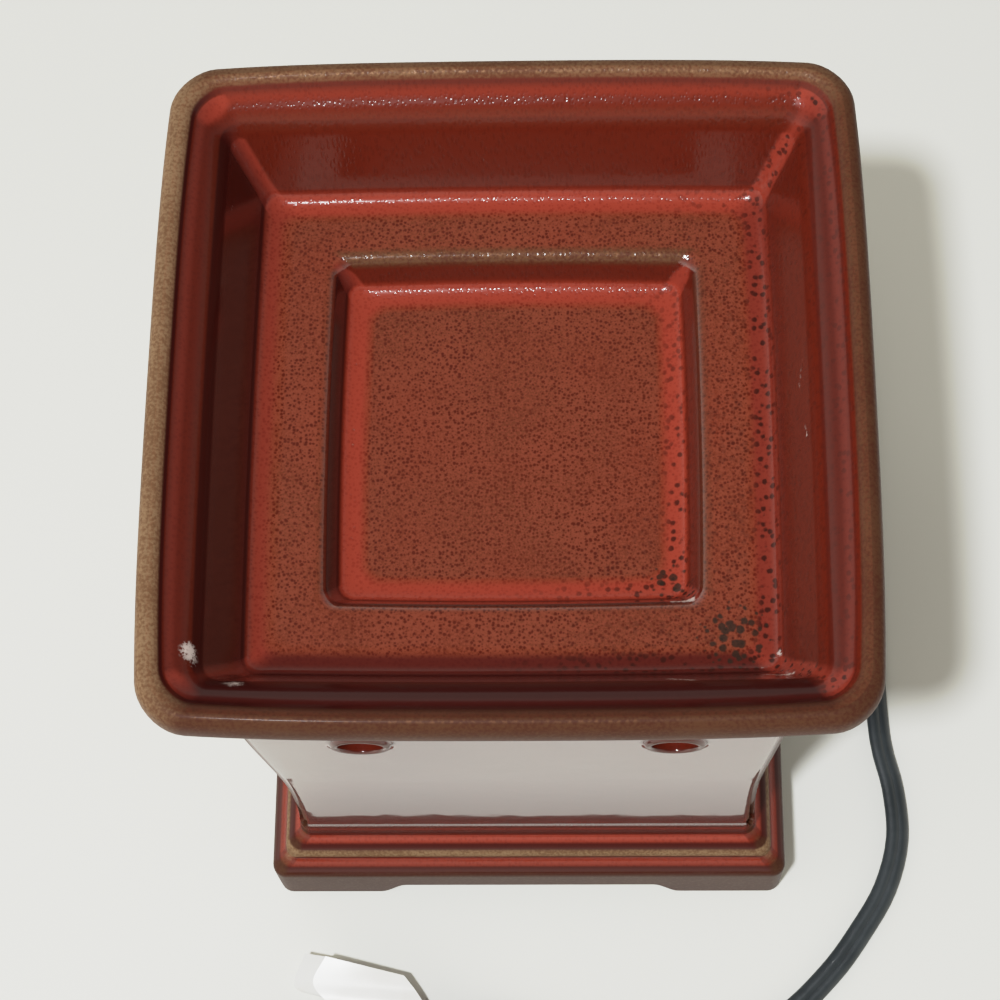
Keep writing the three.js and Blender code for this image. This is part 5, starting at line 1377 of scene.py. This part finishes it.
def make_tag():
    steps = 6
    lefts = through([Vector(left) for left, right in TAG_STOPS], steps)
    rights = through([Vector(right) for left, right in TAG_STOPS], steps)
    rows = len(lefts) - 1
    bm = bmesh.new()
    for vert in bmesh.ops.create_grid(bm, x_segments=10, y_segments=rows, size=1.0)["verts"]:
        row = round((vert.co.y + 1.0) / 2.0 * rows)
        vert.co = lefts[row].lerp(rights[row], (vert.co.x + 1.0) / 2.0)
    bmesh.ops.solidify(bm, geom=bm.faces[:], thickness=0.3)
    outward(bm)
    return finished(bm, "folded_tag", "column", paper_finish(), ["cord_tag"], 70.0)


# Metals: bright where they are worked, duller where they have aged, with fine turning marks
def metal_group():
    group, takes, gives = new_group(
        "worked_metal",
        [("Bright", "colour"), ("Tarnish", "colour"), ("Age", "value"), ("Shine", "value")],
        [("Colour", "colour"), ("Roughness", "value"), ("Height", "value")],
    )
    place = place_of(group)
    film = clouds(group, place, 160.0, 4.0, 0.6)
    grain = clouds(group, mapped(group, place, scale=(1.0, 1.0, 14.0)), 420.0, 3.0, 0.6)
    aged = times(group, eased(group, film, 0.36, 0.70), takes.outputs["Age"])
    colour = blended(group, aged, takes.outputs["Bright"], takes.outputs["Tarnish"])
    rough = plus(group, takes.outputs["Shine"], times(group, grain, 0.16))
    rough = plus(group, rough, times(group, aged, 0.20))
    wired(group, gives, Colour=colour, Roughness=rough, Height=grain)
    return group


METAL = metal_group()


def metal_finish(name, bright, tarnish, age, shine):
    finish, tree, shader = new_finish(name, Metallic=1.0)
    metal = placed_group(tree, METAL, Bright=bright, Tarnish=tarnish, Age=age, Shine=shine)
    wired(tree, shader, Base_Color=metal.outputs["Colour"], Roughness=metal.outputs["Roughness"])
    bumped(tree, shader, metal.outputs["Height"], 0.3, 0.00004)
    return finish


def glass_finish():
    finish, tree, shader = new_finish("lamp_clear_glass", Transmission_Weight=1.0, IOR=1.5)
    place = place_of(tree)
    haze = clouds(tree, place, 90.0, 4.0, 0.6)
    seed = clouds(tree, mapped(tree, place, scale=(1.0, 1.0, 0.3)), 260.0, 2.0)
    clear = blended(tree, eased(tree, haze, 0.3, 0.8), (0.98, 0.99, 0.99), (0.93, 0.95, 0.95))
    wired(tree, shader, Base_Color=clear, Roughness=eased(tree, haze, 0.4, 0.9, 0.02, 0.12))
    bumped(tree, shader, seed, 0.15, 0.0001)
    return finish


brass_finish = metal_finish("worked_brass", (0.74, 0.53, 0.24), (0.36, 0.22, 0.10), 0.55, 0.22)
clear_finish = glass_finish()


# Lamp and holder: turned pieces; the cap and the shell carry the same screw thread
def threaded(bm, pitch, depth, low, high):
    for vert in bm.verts:
        if not low < vert.co.z < high:
            continue
        wave = math.sin(2 * math.pi * vert.co.z / pitch - math.atan2(vert.co.y, vert.co.x))
        ends = min(1.0, (vert.co.z - low) / 1.5, (high - vert.co.z) / 1.5)
        radius = math.hypot(vert.co.x, vert.co.y)
        vert.co.x *= 1.0 + depth * ends * wave / radius
        vert.co.y *= 1.0 + depth * ends * wave / radius
    return bm


def make_lamp():
    cap = drawn(
        (5.0, 59.3), (5.2, 59.3), (5.5, 59.3, 5.5, 59.7), (5.5, 74.4), (5.5, 75.5, 5.1, 75.5), (4.85, 75.5),
        (4.85, 59.6), (5.0, 59.3), bend_steps=4, longest=0.3)
    bm = threaded(turned(cap, 64), 2.54, 0.3, 60.0, 73.4)
    finished(bm, "threaded_cap", "lamp", brass_finish, ["lamp_cap"], 60.0)
    bulb = drawn(
        (4.0, 66.0), (4.7, 66.0), (4.7, 75.6), (4.7, 78.4, 8.4, 81.6), (12.5, 85.2, 12.5, 92.0),
        (12.5, 109.4), (12.5, 117.5, 6.4, 120.9), (3.6, 122.0, 0.0, 122.0), bend_steps=10, longest=5.0)
    inner = drawn(
        (0.0, 121.2), (3.4, 121.2, 5.9, 120.2), (11.7, 117.0, 11.7, 109.4), (11.7, 92.0),
        (11.7, 85.6, 7.8, 82.2), (4.0, 78.8, 4.0, 75.6), (4.0, 66.0), bend_steps=10, longest=5.0)
    bm = turned(bulb + inner, 64)
    finished(bm, "glass_bulb", "lamp", clear_finish, ["lamp_glass"], 60.0)


def make_holder():
    sleeve = drawn(
        (7.3, 49.5), (10.3, 49.5), (10.8, 49.5, 10.8, 50.1), (10.8, 53.0), (10.3, 53.4), (10.3, 54.2),
        (10.8, 54.6), (10.8, 75.2), (10.8, 76.4, 9.6, 76.4), (8.2, 76.4), (7.3, 76.4, 7.3, 75.2), (7.3, 49.5),
        bend_steps=5)
    bm = turned(sleeve, 56)
    finished(bm, "holder_collar", "column", phenolic_finish, ["holder_sleeve"])


make_feet()
make_strain_relief()
switch_halves = make_switch()
thumb_wheel = make_wheel()
plug = make_plug()
tie = make_tie()
tag = make_tag()
make_lamp()
make_holder()

# Finishes of the solids that stay as they are
SOLID_FINISHES = {
    "plate_steel": metal_finish("blacked_steel", (0.055, 0.055, 0.058), (0.115, 0.070, 0.045), 0.5, 0.42),
    "zinc_steel": metal_finish("zinc_plate", (0.62, 0.63, 0.64), (0.40, 0.38, 0.34), 0.6, 0.26),
    "brass": brass_finish,
    "solder": metal_finish("dull_solder", (0.64, 0.64, 0.63), (0.34, 0.33, 0.32), 0.7, 0.34),
    "tungsten": metal_finish("grey_tungsten", (0.26, 0.25, 0.24), (0.10, 0.10, 0.11), 0.5, 0.36),
    "phenolic_black": phenolic_finish,
    "pad_rubber": pad_finish,
    "lamp_glass": clear_finish,
    "wire_insulation": moulded_finish(
        "wire_insulation", (0.028, 0.028, 0.030), (0.060, 0.060, 0.062), 1600.0, 0.40),
}
for node in nodes.values():
    for holder in node.material_slots:
        if holder.material.name in SOLID_FINISHES:
            holder.material = SOLID_FINISHES[holder.material.name]


# Floor
def lay_floor():
    finish, tree, shader = new_finish("pale_table", Roughness=0.6)
    mottle = clouds(tree, place_of(tree), 9.0, 4.0)
    wired(tree, shader, Base_Color=blended(tree, mottle, (0.83, 0.83, 0.76), (0.87, 0.87, 0.80)))
    bm = bmesh.new()
    bmesh.ops.create_grid(bm, x_segments=1, y_segments=1, size=4.0)
    table = loose_object(bm, "table_top")
    table.data.materials.append(finish)


lay_floor()
